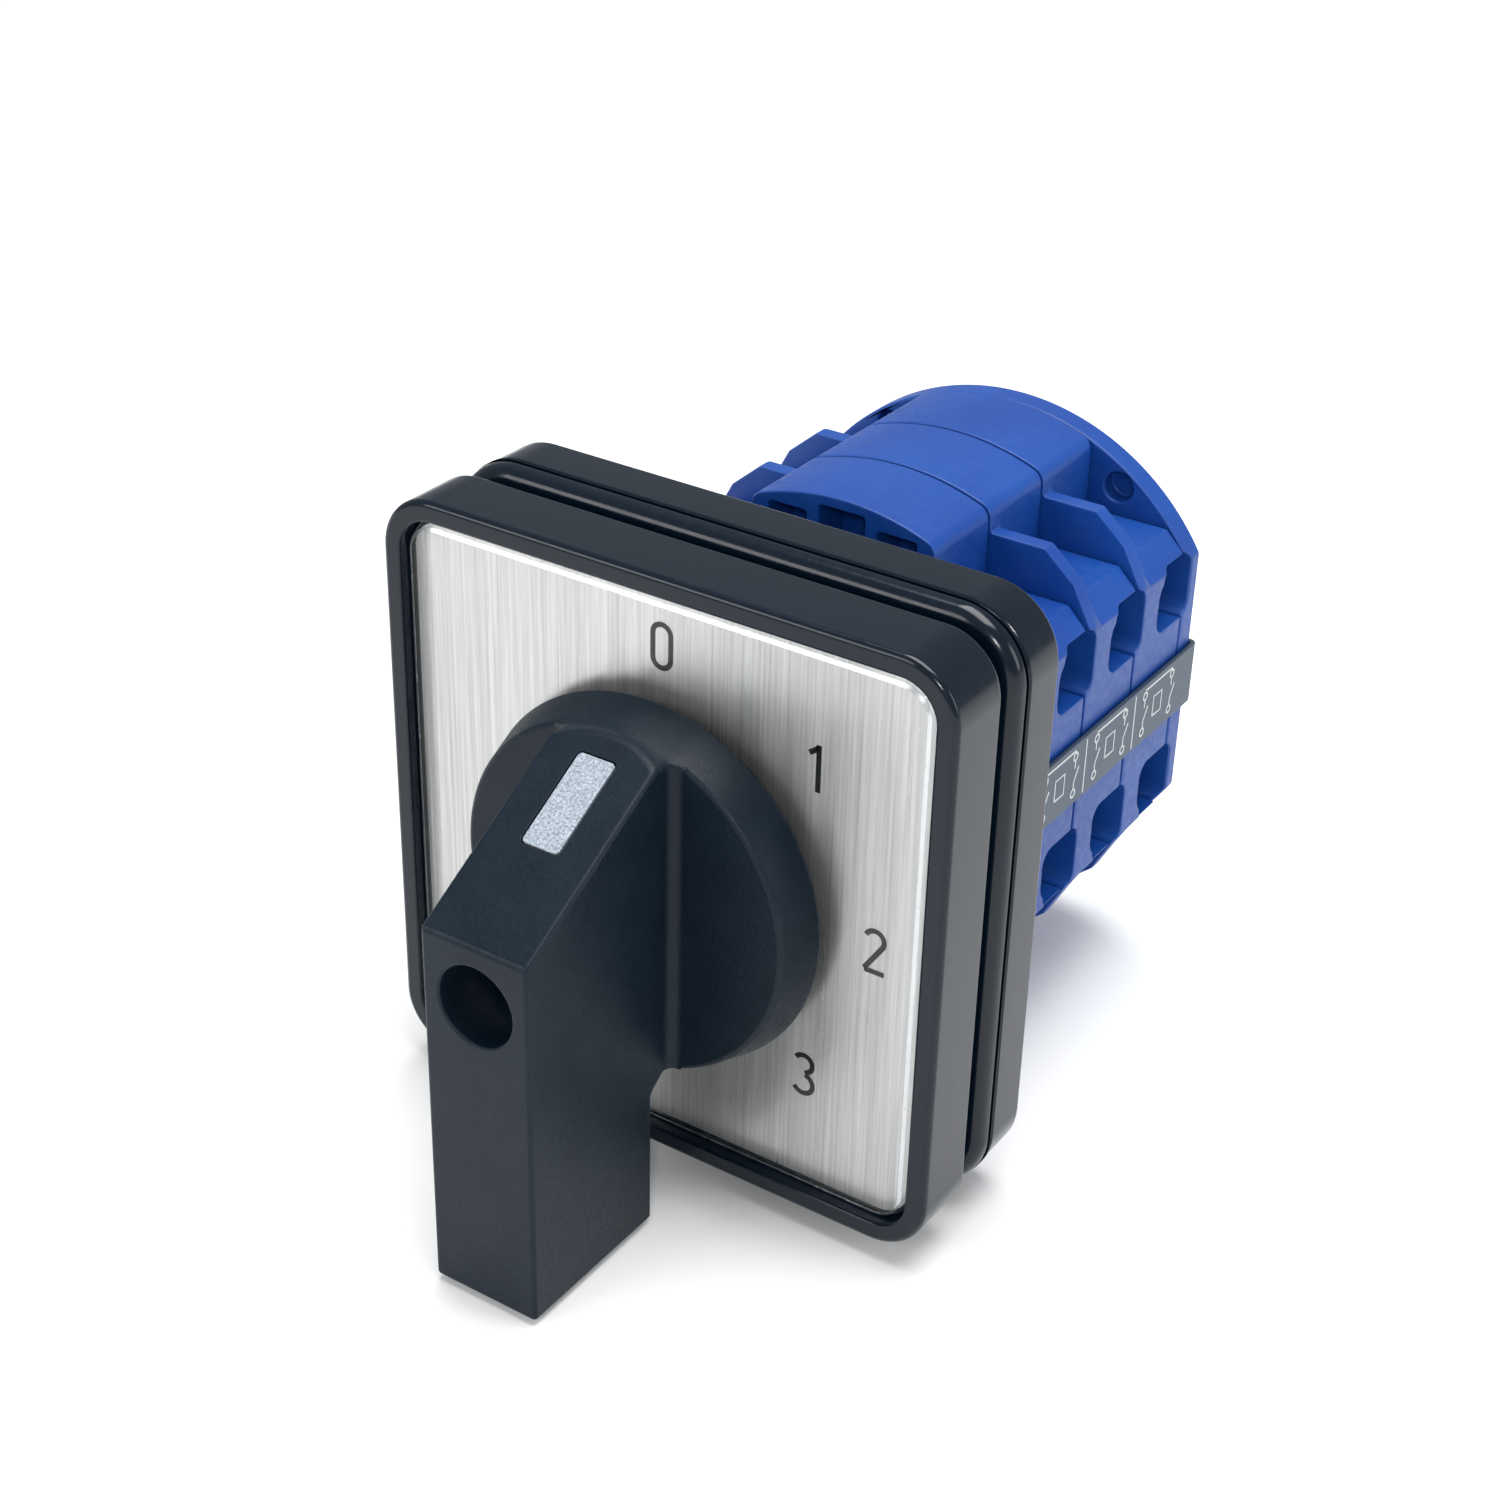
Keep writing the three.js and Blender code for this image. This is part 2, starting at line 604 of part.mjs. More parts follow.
// A wire port seen from the side: a notch with eased inner corners, open towards the rear.
function portCutter(side, end) {
  const low = PORT_LOW_Z;
  const high = PORT_HIGH_Z;
  const front = STAGE_LENGTH - PORT_WIDTH;
  const outline = polygon([
    [STAGE_LENGTH + 1, low], [STAGE_LENGTH + 1, high], [front + 1.9, high],
    [front + 0.9, high - 1.2], [front + 0.1, high - 2.8], [front + 0.2, low + 1.9], [front + 1.6, low],
  ].map(([y, z]) => [y, end * z]));
  return sunkFromSide(outline, side, PORT_FLOOR_X);
}

// The mouth of the port of the stage in front, sunk in a front face at y = 0.
function portMouthCutter(side, end) {
  const low = PORT_LOW_Z;
  const high = PORT_HIGH_Z;
  const back = PORT_MOUTH_DEPTH;
  const outline = polygon([
    [-1, low], [-1, high], [back - 1, high], [back - 0.3, high - 0.7], [back, high - 1.7],
    [back, low + 1.7], [back - 0.3, low + 0.7], [back - 1, low],
  ].map(([y, z]) => [y, end * z]));
  return sunkFromSide(outline, side, PORT_MOUTH_FLOOR_X);
}

const BRIDGE_X = 12.9;
const BRIDGE_HALF_SPAN = 9.2;
const BRIDGE_FRONT = 5.4;
const SCREW_X = 14;
const TERMINAL_Y = STAGE_LENGTH - 3.6;

// Hollows for one of a stage's two contacts: plunger slot, bridge space and spring well.
function contactHollows(side) {
  const rear = STAGE_LENGTH + 1;
  const front = BRIDGE_FRONT - 0.5;
  return [
    block([side * 8, 2.4, -3], [side * 14.8, rear, 3]),
    block([side * 12.5, front, -BRIDGE_HALF_SPAN - 0.4], [side * 16.2, rear, BRIDGE_HALF_SPAN + 0.4]),
    block([side * 16, front, -3], [side * 20, rear, 3]),
    ...[1, -1].map((end) => block(
      [side * 10.8, front, end * 6.2], [side * 12.6, rear, end * 9.8],
    )),
  ];
}

function stageHousing() {
  const flank = BULGE_HALF_WIDTH + 0.1;
  const wall = stageOutline([flank, 22.9], [17.2, 22.9], [20.9, 19.7], SIDE_CORNER);
  const blockOutline = stageOutline([flank, POCKET_FLOOR_Z], [20.6, POCKET_FLOOR_Z], SIDE_CORNER);
  const tools = [
    rodY(CAM_RADIUS + 0.8, 2, STAGE_LENGTH + 1, 0, 0, 2 * COARSE),
    rodY(JOURNAL_RADIUS + 2 * GAP, -1, 3, 0, 0, FINE),
    block([-2.7, -1, 20.4], [2.7, WINDOW_DEPTH, 26]),
    ...[1, -1].flatMap((side) => [
      block([side * 4.2, -1, 20.4], [side * 8.7, WINDOW_DEPTH, 25]),
      rodY(TIE_BOLT_RADIUS + GAP, -1, STAGE_LENGTH + 1, side * TIE_BOLT_X, side * TIE_BOLT_Z),
      ...contactHollows(side),
      ...[1, -1].flatMap((end) => [
        portCutter(side, end),
        portMouthCutter(side, end),
        rodZ(2.1, end * 13.4, end * (POCKET_FLOOR_Z + 1), side * SCREW_X, TERMINAL_Y),
      ]),
    ]),
  ];
  return cut(
    join(slab(wall, 0, STAGE_WALL), slab(blockOutline, STAGE_WALL - 0.5, STAGE_LENGTH)),
    ...tools,
  );
}

// A fixed contact strip with its wire clamp and clamp screw, for the upper right corner. Its middle
// is at y = 0, so that turning it over gives the lower one.
function terminal() {
  const half = 1.6;
  return cut(
    join(
      block([11.1, -half, 6.5], [12.4, half, 12.6]),
      block([11.1, -half, 11], [16.8, half, 12]),
      block([12.2, -1.3, 9.6], [16.8, 1.3, 14.1]),
      rodZ(1.8, 13.8, 16.8, SCREW_X, 0),
    ),
    block([13, -0.9, 12], [18, 0.9, 13.2]),
    block([11, -0.35, 16.2], [17, 0.35, 18]),
  );
}

// The moving parts of the right-hand contact, with the cam at the left.
function contactPlunger() {
  const y0 = 3;
  const y1 = STAGE_LENGTH - 1.2;
  return join(
    block([10.2, y0, -2.6], [BRIDGE_X - 0.25, y1, 2.6]),
    rodY(1, y0, y1, 10.3, 0),
  );
}

function contactBridge() {
  const span = BRIDGE_HALF_SPAN;
  const pads = [1, -1].map((end) => rodX(
    1.2, BRIDGE_X - 0.35, BRIDGE_X + 0.2, BRIDGE_FRONT + 2, end * 7.8,
  ));
  const bar = block([BRIDGE_X, BRIDGE_FRONT, -span], [BRIDGE_X + 1, BRIDGE_FRONT + 4, span]);
  return join(bar, ...pads);
}

function contactSpring() {
  const start = BRIDGE_X + 1 + GAP;
  const wire = 0.6;
  return springGeometry(1.9, 20 - GAP - start - wire, wire, 4)
    .translate(start + wire / 2, BRIDGE_FRONT + 2, 0);
}

// The end plate, drawn with its front face at y = 0.
function endPlate() {
  const crown = crownPoints(END_PLATE_RADIUS, BODY_HALF_WIDTH, 10);
  const outline = fourfold([...crown, [BODY_HALF_WIDTH, 0]]);
  const beyond = END_PLATE_THICKNESS + 1;
  const tools = [1, -1].flatMap((side) => [
    rodY(TIE_BOLT_RADIUS + GAP, -1, beyond, side * TIE_BOLT_X, side * TIE_BOLT_Z),
    ...[1, -1].flatMap((end) => [
      rodY(DIMPLE_RADIUS, -1, DIMPLE_DEPTH, side * 14.3, end * 20.7),
      portMouthCutter(side, end),
    ]),
  ]);
  return cut(
    join(slab(outline, 0, END_PLATE_THICKNESS)),
    rodY(TAIL_RADIUS + GAP, -1, beyond, 0, 0, FINE),
    ...tools,
  );
}

function tieBolt() {
  const seat = END_PLATE_REAR_Y + GAP;
  return cut(
    join(rodY(3.3, seat, seat + 2, 0, 0, FINE), rodY(TIE_BOLT_RADIUS, INDEX_FRONT_Y + 3, seat + 1)),
    block([-3, seat + 1.2, -0.4], [3, seat + 3, 0.4]),
  );
}

// The metal strip along the right side, folded round the rear edge of the end plate.
function diagramStrip() {
  const half = 3.6;
  const outside = BODY_HALF_WIDTH + 0.7;
  return join(
    block([outside - 0.5, STAGE_START_Y, -half], [outside, END_PLATE_REAR_Y + 0.7, half]),
    block([outside - 2.2, END_PLATE_REAR_Y + 0.25, -half], [outside, END_PLATE_REAR_Y + 0.7, half]),
  );
}

// ---------------------------------------------------------------- assembly

function place(object, x, y, z) {
  object.position.set(x, y, z);
  return object;
}

function addStage(root, index) {
  const stage = place(new THREE.Group(), 0, STAGE_START_Y + index * STAGE_PITCH, 0);
  const label = index + 1;
  stage.add(named(`stage_housing_${label}`, stageHousing(), blue));
  stage.add(named(`cam_${label}`, cam(label), ivoryPlastic));
  for (const side of ['right', 'left']) {
    const pole = new THREE.Group();
    pole.rotation.y = side === 'right' ? 0 : Math.PI;
    pole.add(named(`contact_plunger_${label}_${side}`, contactPlunger(), ivoryPlastic));
    pole.add(named(`contact_bridge_${label}_${side}`, contactBridge(), silverAlloy));
    pole.add(named(`contact_spring_${label}_${side}`, contactSpring(), steel));
    for (const end of ['upper', 'lower']) {
      // Half a turn about Y swaps up and down as well, so the left pole takes them in turn.
      const turnedOver = (end === 'lower') === (side === 'right');
      const clamp = place(named(`terminal_${label}_${side}_${end}`, terminal(), brass), 0, TERMINAL_Y, 0);
      clamp.rotation.x = turnedOver ? Math.PI : 0;
      pole.add(clamp);
    }
    stage.add(pole);
  }
  root.add(stage);
}

const group = new THREE.Group();
group.add(named('handle', handle(), blackTextured));
group.add(named(
  'pointer_insert', pointerBar(INSERT_WIDTH, INSERT_LENGTH, INSERT_THICKNESS, 0.05), silverInsert,
));
group.add(named('handle_screw', handleScrew(), steel));
group.add(named('drive_shaft', driveShaft(), steel));
group.add(named('front_frame', frontFrame(), blackSatin));
group.add(named('clear_cover', clearCover(), clear));
group.add(named('label_plate', labelPlate(), brushedAluminium));
group.add(named('panel_gasket', panelGasket(), darkRubber));
group.add(named('rear_flange', rearFlange(), blackSatin));
group.add(named('index_housing', indexHousing(), blackSatin));
group.add(named('index_wheel', indexWheel(), ivoryPlastic));
group.add(named('stop_plate', stopPlate(), steel));
group.add(place(named('end_plate', endPlate(), blue), 0, END_PLATE_FRONT_Y, 0));
group.add(named('diagram_strip', diagramStrip(), brushedAluminium));

SCREW_PLACES.forEach(([x, z], i) => {
  group.add(place(named(`panel_screw_${i + 1}`, panelScrew(), steel), x, 0, z));
});

[1, -1].forEach((side, i) => {
  group.add(place(
    named(`tie_bolt_${i + 1}`, tieBolt(), steel), side * TIE_BOLT_X, 0, side * TIE_BOLT_Z,
  ));
});

for (const end of ['upper', 'lower']) {
  const follower = new THREE.Group();
  follower.rotation.y = end === 'upper' ? 0 : Math.PI;
  follower.add(named(`index_plunger_${end}`, indexPlunger(), ivoryPlastic));
  follower.add(named(`index_spring_${end}`, indexSpring(), steel));
  group.add(follower);
}

for (let index = 0; index < STAGE_COUNT; index += 1) {
  addStage(group, index);
}

export default group;
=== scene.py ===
"""The looks of a panel-mounted rotary cam switch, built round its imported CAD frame.

Pieces are drawn in millimetres in the frame's own axes (the switch turns about Y, its front faces -Y)
and scaled to metres as they are finished.
"""
import json
import math

import bmesh
import bpy
from mathutils import Matrix, Vector


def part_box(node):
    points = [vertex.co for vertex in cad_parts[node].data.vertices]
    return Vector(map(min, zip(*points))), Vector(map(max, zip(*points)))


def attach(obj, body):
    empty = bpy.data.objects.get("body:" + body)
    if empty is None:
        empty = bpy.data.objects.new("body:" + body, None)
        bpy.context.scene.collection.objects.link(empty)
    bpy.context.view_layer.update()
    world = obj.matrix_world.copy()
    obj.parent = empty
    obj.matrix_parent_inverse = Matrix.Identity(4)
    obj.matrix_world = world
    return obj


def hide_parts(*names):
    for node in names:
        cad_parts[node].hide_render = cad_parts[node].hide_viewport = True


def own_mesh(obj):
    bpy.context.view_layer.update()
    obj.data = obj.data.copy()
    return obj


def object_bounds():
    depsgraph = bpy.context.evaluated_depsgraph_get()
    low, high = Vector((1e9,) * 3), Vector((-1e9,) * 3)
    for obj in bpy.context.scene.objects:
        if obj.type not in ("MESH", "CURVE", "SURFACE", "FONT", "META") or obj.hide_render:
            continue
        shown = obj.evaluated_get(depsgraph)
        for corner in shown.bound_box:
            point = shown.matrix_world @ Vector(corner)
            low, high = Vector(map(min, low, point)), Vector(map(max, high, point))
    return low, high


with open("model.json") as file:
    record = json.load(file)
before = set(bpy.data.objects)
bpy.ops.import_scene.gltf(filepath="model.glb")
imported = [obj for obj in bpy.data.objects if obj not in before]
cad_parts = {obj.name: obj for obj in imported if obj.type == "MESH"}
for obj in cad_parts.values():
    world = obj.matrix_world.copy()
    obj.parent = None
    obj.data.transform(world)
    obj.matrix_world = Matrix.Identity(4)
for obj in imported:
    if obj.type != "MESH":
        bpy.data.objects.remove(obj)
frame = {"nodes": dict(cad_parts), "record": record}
cad_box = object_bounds()

MM = 0.001
SIDES = {"right": 1, "left": -1}
ENDS = {"upper": 1, "lower": -1}
CORNERS = [(sx, sz) for sx in SIDES.values() for sz in ENDS.values()]
STAGES = (1, 2, 3)
HALF_WIDTH = 23.3  # of everything behind the flange
SMOOTH_ANGLE = 38  # faces that meet at less than this many degrees are shaded as one surface


def cad(node):
    """Lowest and highest corner of a CAD node, in millimetres."""
    low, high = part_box(node)
    return low / MM, high / MM


# ---------------------------------------------------------------- materials


class Painter:
    """A node material built step by step around one Principled shader."""

    def __init__(self, name, color, roughness, metallic=0.0, **inputs):
        self.material = bpy.data.materials.new(name)
        self.material.use_nodes = True
        self.tree = self.material.node_tree
        self.shader = self.tree.nodes["Principled BSDF"]
        self.shader.inputs["Base Color"].default_value = (*color, 1)
        self.shader.inputs["Roughness"].default_value = roughness
        self.shader.inputs["Metallic"].default_value = metallic
        for key, value in inputs.items():
            self.shader.inputs[key.replace("_", " ")].default_value = value
        self.coords = self.tree.nodes.new("ShaderNodeTexCoord").outputs["Object"]
        self.normal = None

    def node(self, kind, **settings):
        made = self.tree.nodes.new(kind)
        for key, value in settings.items():
            setattr(made, key, value)
        return made

    def link(self, source, target):
        self.tree.links.new(source, target)

    def noise(self, per_mm, detail=2.0, stretch=(1, 1, 1), roughness=0.5):
        """Noise with per_mm cells in each millimetre, stretched along the axes."""
        mapping = self.node("ShaderNodeMapping")
        mapping.inputs["Scale"].default_value = [s * per_mm / MM for s in stretch]
        self.link(self.coords, mapping.inputs["Vector"])
        noise = self.node("ShaderNodeTexNoise")
        noise.inputs["Scale"].default_value = 1
        noise.inputs["Detail"].default_value = detail
        noise.inputs["Roughness"].default_value = roughness
        self.link(mapping.outputs["Vector"], noise.inputs["Vector"])
        return noise.outputs["Fac"]

    def ramp(self, value, low, high, start=0.3, end=0.7):
        ramp = self.node("ShaderNodeMapRange")
        ramp.inputs["From Min"].default_value = start
        ramp.inputs["From Max"].default_value = end
        ramp.inputs["To Min"].default_value = low
        ramp.inputs["To Max"].default_value = high
        self.link(value, ramp.inputs["Value"])
        return ramp.outputs["Result"]

    def tint(self, value, dark, light, start=0.3, end=0.7):
        """Base colour from dark to light as value rises."""
        mix = self.node("ShaderNodeMix", data_type="RGBA")
        mix.inputs[6].default_value = (*dark, 1)
        mix.inputs[7].default_value = (*light, 1)
        self.link(self.ramp(value, 0, 1, start, end), mix.inputs[0])
        self.link(mix.outputs[2], self.shader.inputs["Base Color"])
        return self

    def rough(self, value, low, high):
        self.link(self.ramp(value, low, high), self.shader.inputs["Roughness"])
        return self

    def bump(self, value, depth_mm, strength=1.0):
        bump = self.node("ShaderNodeBump")
        bump.inputs["Strength"].default_value = strength
        bump.inputs["Distance"].default_value = depth_mm * MM
        self.link(value, bump.inputs["Height"])
        if self.normal is not None:
            self.link(self.normal, bump.inputs["Normal"])
        self.normal = bump.outputs["Normal"]
        self.link(self.normal, self.shader.inputs["Normal"])
        return self


def dust_specks(painter):
    """1 in sparse small specks of dust, 0 elsewhere."""
    cells = painter.node("ShaderNodeTexVoronoi")
    cells.inputs["Scale"].default_value = 0.22 / MM
    painter.link(painter.coords, cells.inputs["Vector"])
    near = painter.ramp(cells.outputs["Distance"], 1, 0, 0.025, 0.04)
    chosen = painter.ramp(cells.outputs["Color"], 0, 1, 0.78, 0.80)
    both = painter.node("ShaderNodeMath", operation="MULTIPLY")
    painter.link(near, both.inputs[0])
    painter.link(chosen, both.inputs[1])
    return both.outputs["Value"]


def handle_plastic():
    """Black nylon with a fine spark-eroded texture."""
    p = Painter("handle_plastic", (0.003, 0.009, 0.017), 0.45, Specular_IOR_Level=0.2)
    p.tint(p.noise(0.25, 3.0), (0.002, 0.0075, 0.015), (0.004, 0.0105, 0.019))
    p.rough(p.noise(2.0), 0.36, 0.48)
    p.bump(p.noise(1.3, 2.0), 0.05, 0.25)
    return p.bump(p.noise(4.0, 2.0), 0.04, 0.5).material


def black_satin():
    """Black thermoplastic, moulded smooth, with faint scuffs and dust."""
    p = Painter("black_satin", (0.002, 0.006, 0.013), 0.2, Specular_IOR_Level=0.32)
    p.tint(dust_specks(p), (0.002, 0.006, 0.013), (0.20, 0.21, 0.22), 0.0, 1.0)
    p.rough(p.noise(0.6, 3.0), 0.12, 0.22)
    return p.bump(p.noise(2.0, 2.0), 0.006, 0.4).material


def blue_plastic():
    """Royal blue thermoplastic with a satin skin and slight flow marks."""
    p = Painter("blue_plastic", (0.003, 0.048, 0.26), 0.4, Specular_IOR_Level=0.42)
    p.tint(p.noise(0.10, 3.0, (1, 0.5, 1)), (0.002, 0.041, 0.238), (0.005, 0.057, 0.284))
    p.rough(p.noise(0.9, 3.0), 0.36, 0.50)
    return p.bump(p.noise(2.5, 3.0), 0.02, 0.5).material


def brushed_label():
    """Aluminium sheet brushed up and down, with finer and coarser streaks."""
    p = Painter("label_plate", (0.53, 0.53, 0.525), 0.34, 0.8)
    streaks = p.noise(3.2, 5.0, (1, 1, 0.012), 0.75)
    broad = p.noise(0.45, 3.0, (1, 1, 0.03))
    p.tint(streaks, (0.395, 0.395, 0.39), (0.64, 0.64, 0.632), 0.30, 0.70)
    p.rough(broad, 0.26, 0.42)
    return p.bump(streaks, 0.03, 0.5).material


def speckled_silver():
    """Silver paint full of fine flakes."""
    p = Painter("pointer_insert", (0.29, 0.33, 0.38), 0.5, 0.2)
    flakes = p.noise(4.5, 2.0)
    p.tint(flakes, (0.18, 0.21, 0.25), (0.40, 0.45, 0.51), 0.35, 0.65)
    return p.bump(flakes, 0.03, 0.5).material


def strip_metal():
    """Grey-anodised sheet with a light brushing along the strip."""
    p = Painter("strip_metal", (0.055, 0.08, 0.11), 0.42, 0.4, Specular_IOR_Level=0.4)
    brushing = p.noise(5.0, 3.0, (1, 0.03, 1))
    p.tint(brushing, (0.038, 0.056, 0.08), (0.072, 0.10, 0.135))
    p.rough(brushing, 0.36, 0.5)
    return p.bump(brushing, 0.01, 0.4).material


def plated_steel():
    """Bright zinc plating with fine tool marks."""
    p = Painter("steel", (0.68, 0.70, 0.72), 0.32, 0.8)
    marks = p.noise(2.0, 3.0)
    p.tint(marks, (0.58, 0.60, 0.62), (0.78, 0.80, 0.82))
    p.rough(marks, 0.24, 0.4)
    return p.bump(p.noise(6.0, 2.0), 0.01, 0.4).material


def tinned_brass():
    """Brass with a thin, slightly worn coat of tin."""
    p = Painter("brass", (0.62, 0.52, 0.32), 0.34, 1.0)
    worn = p.noise(0.6, 4.0)
    p.tint(worn, (0.60, 0.44, 0.20), (0.66, 0.60, 0.48))
    p.rough(worn, 0.26, 0.42)
    return p.bump(p.noise(4.0, 2.0), 0.01, 0.4).material


def contact_silver():
    """Silver-alloy contact metal, a little tarnished."""
    p = Painter("contact_silver", (0.72, 0.71, 0.69), 0.3, 1.0)
    tarnish = p.noise(0.7, 4.0)
    p.tint(tarnish, (0.58, 0.55, 0.50), (0.80, 0.80, 0.79))
    p.rough(tarnish, 0.22, 0.4)
    return p.bump(p.noise(4.0, 2.0), 0.01, 0.4).material


def ivory_plastic():
    """Natural-coloured engineering plastic, slightly translucent to the eye."""
    p = Painter("ivory_plastic", (0.70, 0.66, 0.56), 0.42, Specular_IOR_Level=0.5)
    cloud = p.noise(0.3, 3.0)
    p.tint(cloud, (0.64, 0.60, 0.50), (0.74, 0.70, 0.61))
    p.rough(cloud, 0.36, 0.5)
    return p.bump(p.noise(3.0, 2.0), 0.015, 0.5).material


def gasket_rubber():
    """Soft black rubber, dusty on the surface."""
    p = Painter("gasket", (0.012, 0.012, 0.013), 0.75)
    dust = p.noise(1.2, 4.0)
    p.tint(dust, (0.009, 0.009, 0.010), (0.022, 0.022, 0.024))
    p.rough(dust, 0.65, 0.9)
    return p.bump(p.noise(3.0, 3.0), 0.03, 0.6).material


def printed(name, color):
    """Flat printing ink with a slightly uneven film."""
    p = Painter(name, color, 0.45, Specular_IOR_Level=0.2)
    film = p.noise(3.0, 3.0)
    p.tint(film, tuple(0.9 * c for c in color), tuple(min(1, 1.1 * c) for c in color))
    p.rough(film, 0.38, 0.55)
    return p.bump(film, 0.004, 0.4).material


def clear_acrylic():
    """Clear polished sheet: a faint gloss over what is behind it, a little smeared."""
    p = Painter("clear_cover", (0.95, 0.96, 0.97), 0.05, 1.0, Alpha=0.02)
    smears = p.noise(0.08, 4.0)
    p.rough(smears, 0.04, 0.14)
    return p.bump(p.noise(0.02, 2.0), 0.002, 0.2).material


def painted_highlight_edge():
    """A half-clear silvery metal band: a painted highlight for the glint along the clear sheet's polished
    edge.
    """
    p = Painter("painted_highlight_edge", (0.74, 0.76, 0.78), 0.24, 0.9, Alpha=0.5)
    return p.rough(p.noise(0.3, 3.0), 0.2, 0.3).material


MATERIALS = {
    "handle_plastic": handle_plastic(),
    "black_satin": black_satin(),
    "blue_plastic": blue_plastic(),
    "label_plate": brushed_label(),
    "pointer_insert": speckled_silver(),
    "strip_metal": strip_metal(),
    "steel": plated_steel(),
    "brass": tinned_brass(),
    "contact_silver": contact_silver(),
    "ivory_plastic": ivory_plastic(),
    "gasket": gasket_rubber(),
    "clear_cover": clear_acrylic(),
}
BLACK_INK = printed("black_ink", (0.004, 0.004, 0.005))
# material of the painted highlight band on the cover's bevel
PAINTED_HIGHLIGHT_EDGE = painted_highlight_edge()
PALE_INK = printed("pale_ink", (0.52, 0.55, 0.56))

# ---------------------------------------------------------------- shape helpers


def make_object(name, mesh):
    made = bpy.data.objects.new(name, mesh)
    bpy.context.scene.collection.objects.link(made)
    return made


def from_rings(rings, closed=True):
    """A solid through a list of rings of points, each with the same count, capped at both ends."""
    bm = bmesh.new()
    layers = [[bm.verts.new(p) for p in ring] for ring in rings]
    count = len(rings[0])
    for low, high in zip(layers, layers[1:]):
        for i in range(count):
            j = (i + 1) % count
            bm.faces.new((low[i], low[j], high[j], high[i]))
    if closed:
        bm.faces.new(list(reversed(layers[0])))
        bm.faces.new(layers[-1])
    bmesh.ops.recalc_face_normals(bm, faces=bm.faces)
    mesh = bpy.data.meshes.new("shape")
    bm.to_mesh(mesh)
    bm.free()
    return make_object("shape", mesh)


def ring_at(outline, y):
    """An outline of (x, z) points, placed at y."""
    return [(x, y, z) for x, z in outline]


def prism(outline, y0, y1):
    """An outline of (x, z) points swept along Y."""
    return from_rings([ring_at(outline, y) for y in (y0, y1)])


def prism_x(outline, x0, x1):
    """An outline of (y, z) points swept along X."""
    return from_rings([[(x, y, z) for y, z in outline] for x in (x0, x1)])


def block(x0, x1, y0, y1, z0, z1):
    return prism([(x0, z0), (x1, z0), (x1, z1), (x0, z1)], y0, y1)


def span(sign, near, far):
    """The range between two distances from the middle, on the side that sign gives, lowest first."""
    return sorted((sign * near, sign * far))


def arc(cx, cz, radius, start, end, steps):
    """Points on a circle, with angles in degrees from +X towards +Z."""
    turns = [math.radians(start + (end - start) * i / steps) for i in range(steps + 1)]
    return [(cx + radius * math.cos(t), cz + radius * math.sin(t)) for t in turns]


def rounded_rectangle(width, height, radius, steps=10):
    x, z = width / 2 - radius, height / 2 - radius
    points = []
    for quarter, (cx, cz) in enumerate([(x, z), (-x, z), (-x, -z), (x, -z)]):
        points += arc(cx, cz, radius, 90 * quarter, 90 * quarter + 90, steps)
    return points


def circle(radius, steps=48, cx=0.0, cz=0.0):
    return arc(cx, cz, radius, 0, 360, steps)[:-1]


def rod_y(radius, y0, y1, cx=0.0, cz=0.0, steps=48):
    return prism(circle(radius, steps, cx, cz), y0, y1)


def rod_z(radius, z0, z1, cx=0.0, cy=0.0, steps=40):
    ring = circle(radius, steps, cx, cy)
    return from_rings([[(x, y, z) for x, y in ring] for z in (z0, z1)])


def turned(profile, steps):
    """A solid turned about Y from (radius, y) points; its first and last rings are capped."""
    return from_rings([ring_at(circle(radius, steps), y) for radius, y in profile])


def fourfold(quarter):
    """A whole outline from its upper right quarter, from the top centre to the right centre."""
    top, side, inner = quarter[0], quarter[-1], quarter[1:-1]
    right_up = [top] + inner + [side]
    right_down = [(x, -z) for x, z in reversed(inner)]
    left_down = [(0, -top[1])] + [(-x, -z) for x, z in inner] + [(-side[0], 0)]
    left_up = [(-x, z) for x, z in reversed(inner)]
    return right_up + right_down + left_down + left_up


def settle(obj):
    """Replaces an object's mesh with what its modifiers make of it, and removes them."""
    graph = bpy.context.evaluated_depsgraph_get()
    mesh = bpy.data.meshes.new_from_object(obj.evaluated_get(graph), depsgraph=graph)
    obj.modifiers.clear()
    old, obj.data = obj.data, mesh
    bpy.data.meshes.remove(old)
    return obj


def combine(obj, others, operation):
    """Joins or cuts an object with others, which are used up."""
    for other in others:
        modifier = obj.modifiers.new("combine", "BOOLEAN")
        modifier.operation = operation
        modifier.solver = "EXACT"
        modifier.object = other
    settle(obj)
    for other in others:
        bpy.data.objects.remove(other)
    return obj


def join(obj, *others):
    return combine(obj, others, "UNION")


def cut(obj, *others):
    return combine(obj, others, "DIFFERENCE")


def tidy(obj):
    """Merges near points and flat neighbours that booleans leave behind."""
    bm = bmesh.new()
    bm.from_mesh(obj.data)
    bmesh.ops.remove_doubles(bm, verts=bm.verts, dist=0.004)
    bmesh.ops.dissolve_limit(bm, angle_limit=math.radians(0.4), verts=bm.verts, edges=bm.edges)
    bmesh.ops.recalc_face_normals(bm, faces=bm.faces)
    bm.to_mesh(obj.data)
    bm.free()
    return obj


def ease_edges(obj, width, segments=3, angle=32, chosen=None):
    """Rounds the sharp edges. chosen(edge) may give an edge a share of the width."""
    tidy(obj)
    if chosen:
        bm = bmesh.new()
        bm.from_mesh(obj.data)
        layer = bm.edges.layers.float.get("bevel_weight_edge")
        layer = layer or bm.edges.layers.float.new("bevel_weight_edge")
        for edge in bm.edges:
            sharp = len(edge.link_faces) == 2 and edge.calc_face_angle(0) > math.radians(angle)
            edge[layer] = chosen(edge) if sharp else 0
        bm.to_mesh(obj.data)
        bm.free()
    modifier = obj.modifiers.new("ease", "BEVEL")
    modifier.width = width
    modifier.segments = segments
    modifier.limit_method = "WEIGHT" if chosen else "ANGLE"
    modifier.angle_limit = math.radians(angle)
    modifier.use_clamp_overlap = False
    modifier.miter_outer = "MITER_ARC"
    return settle(obj)


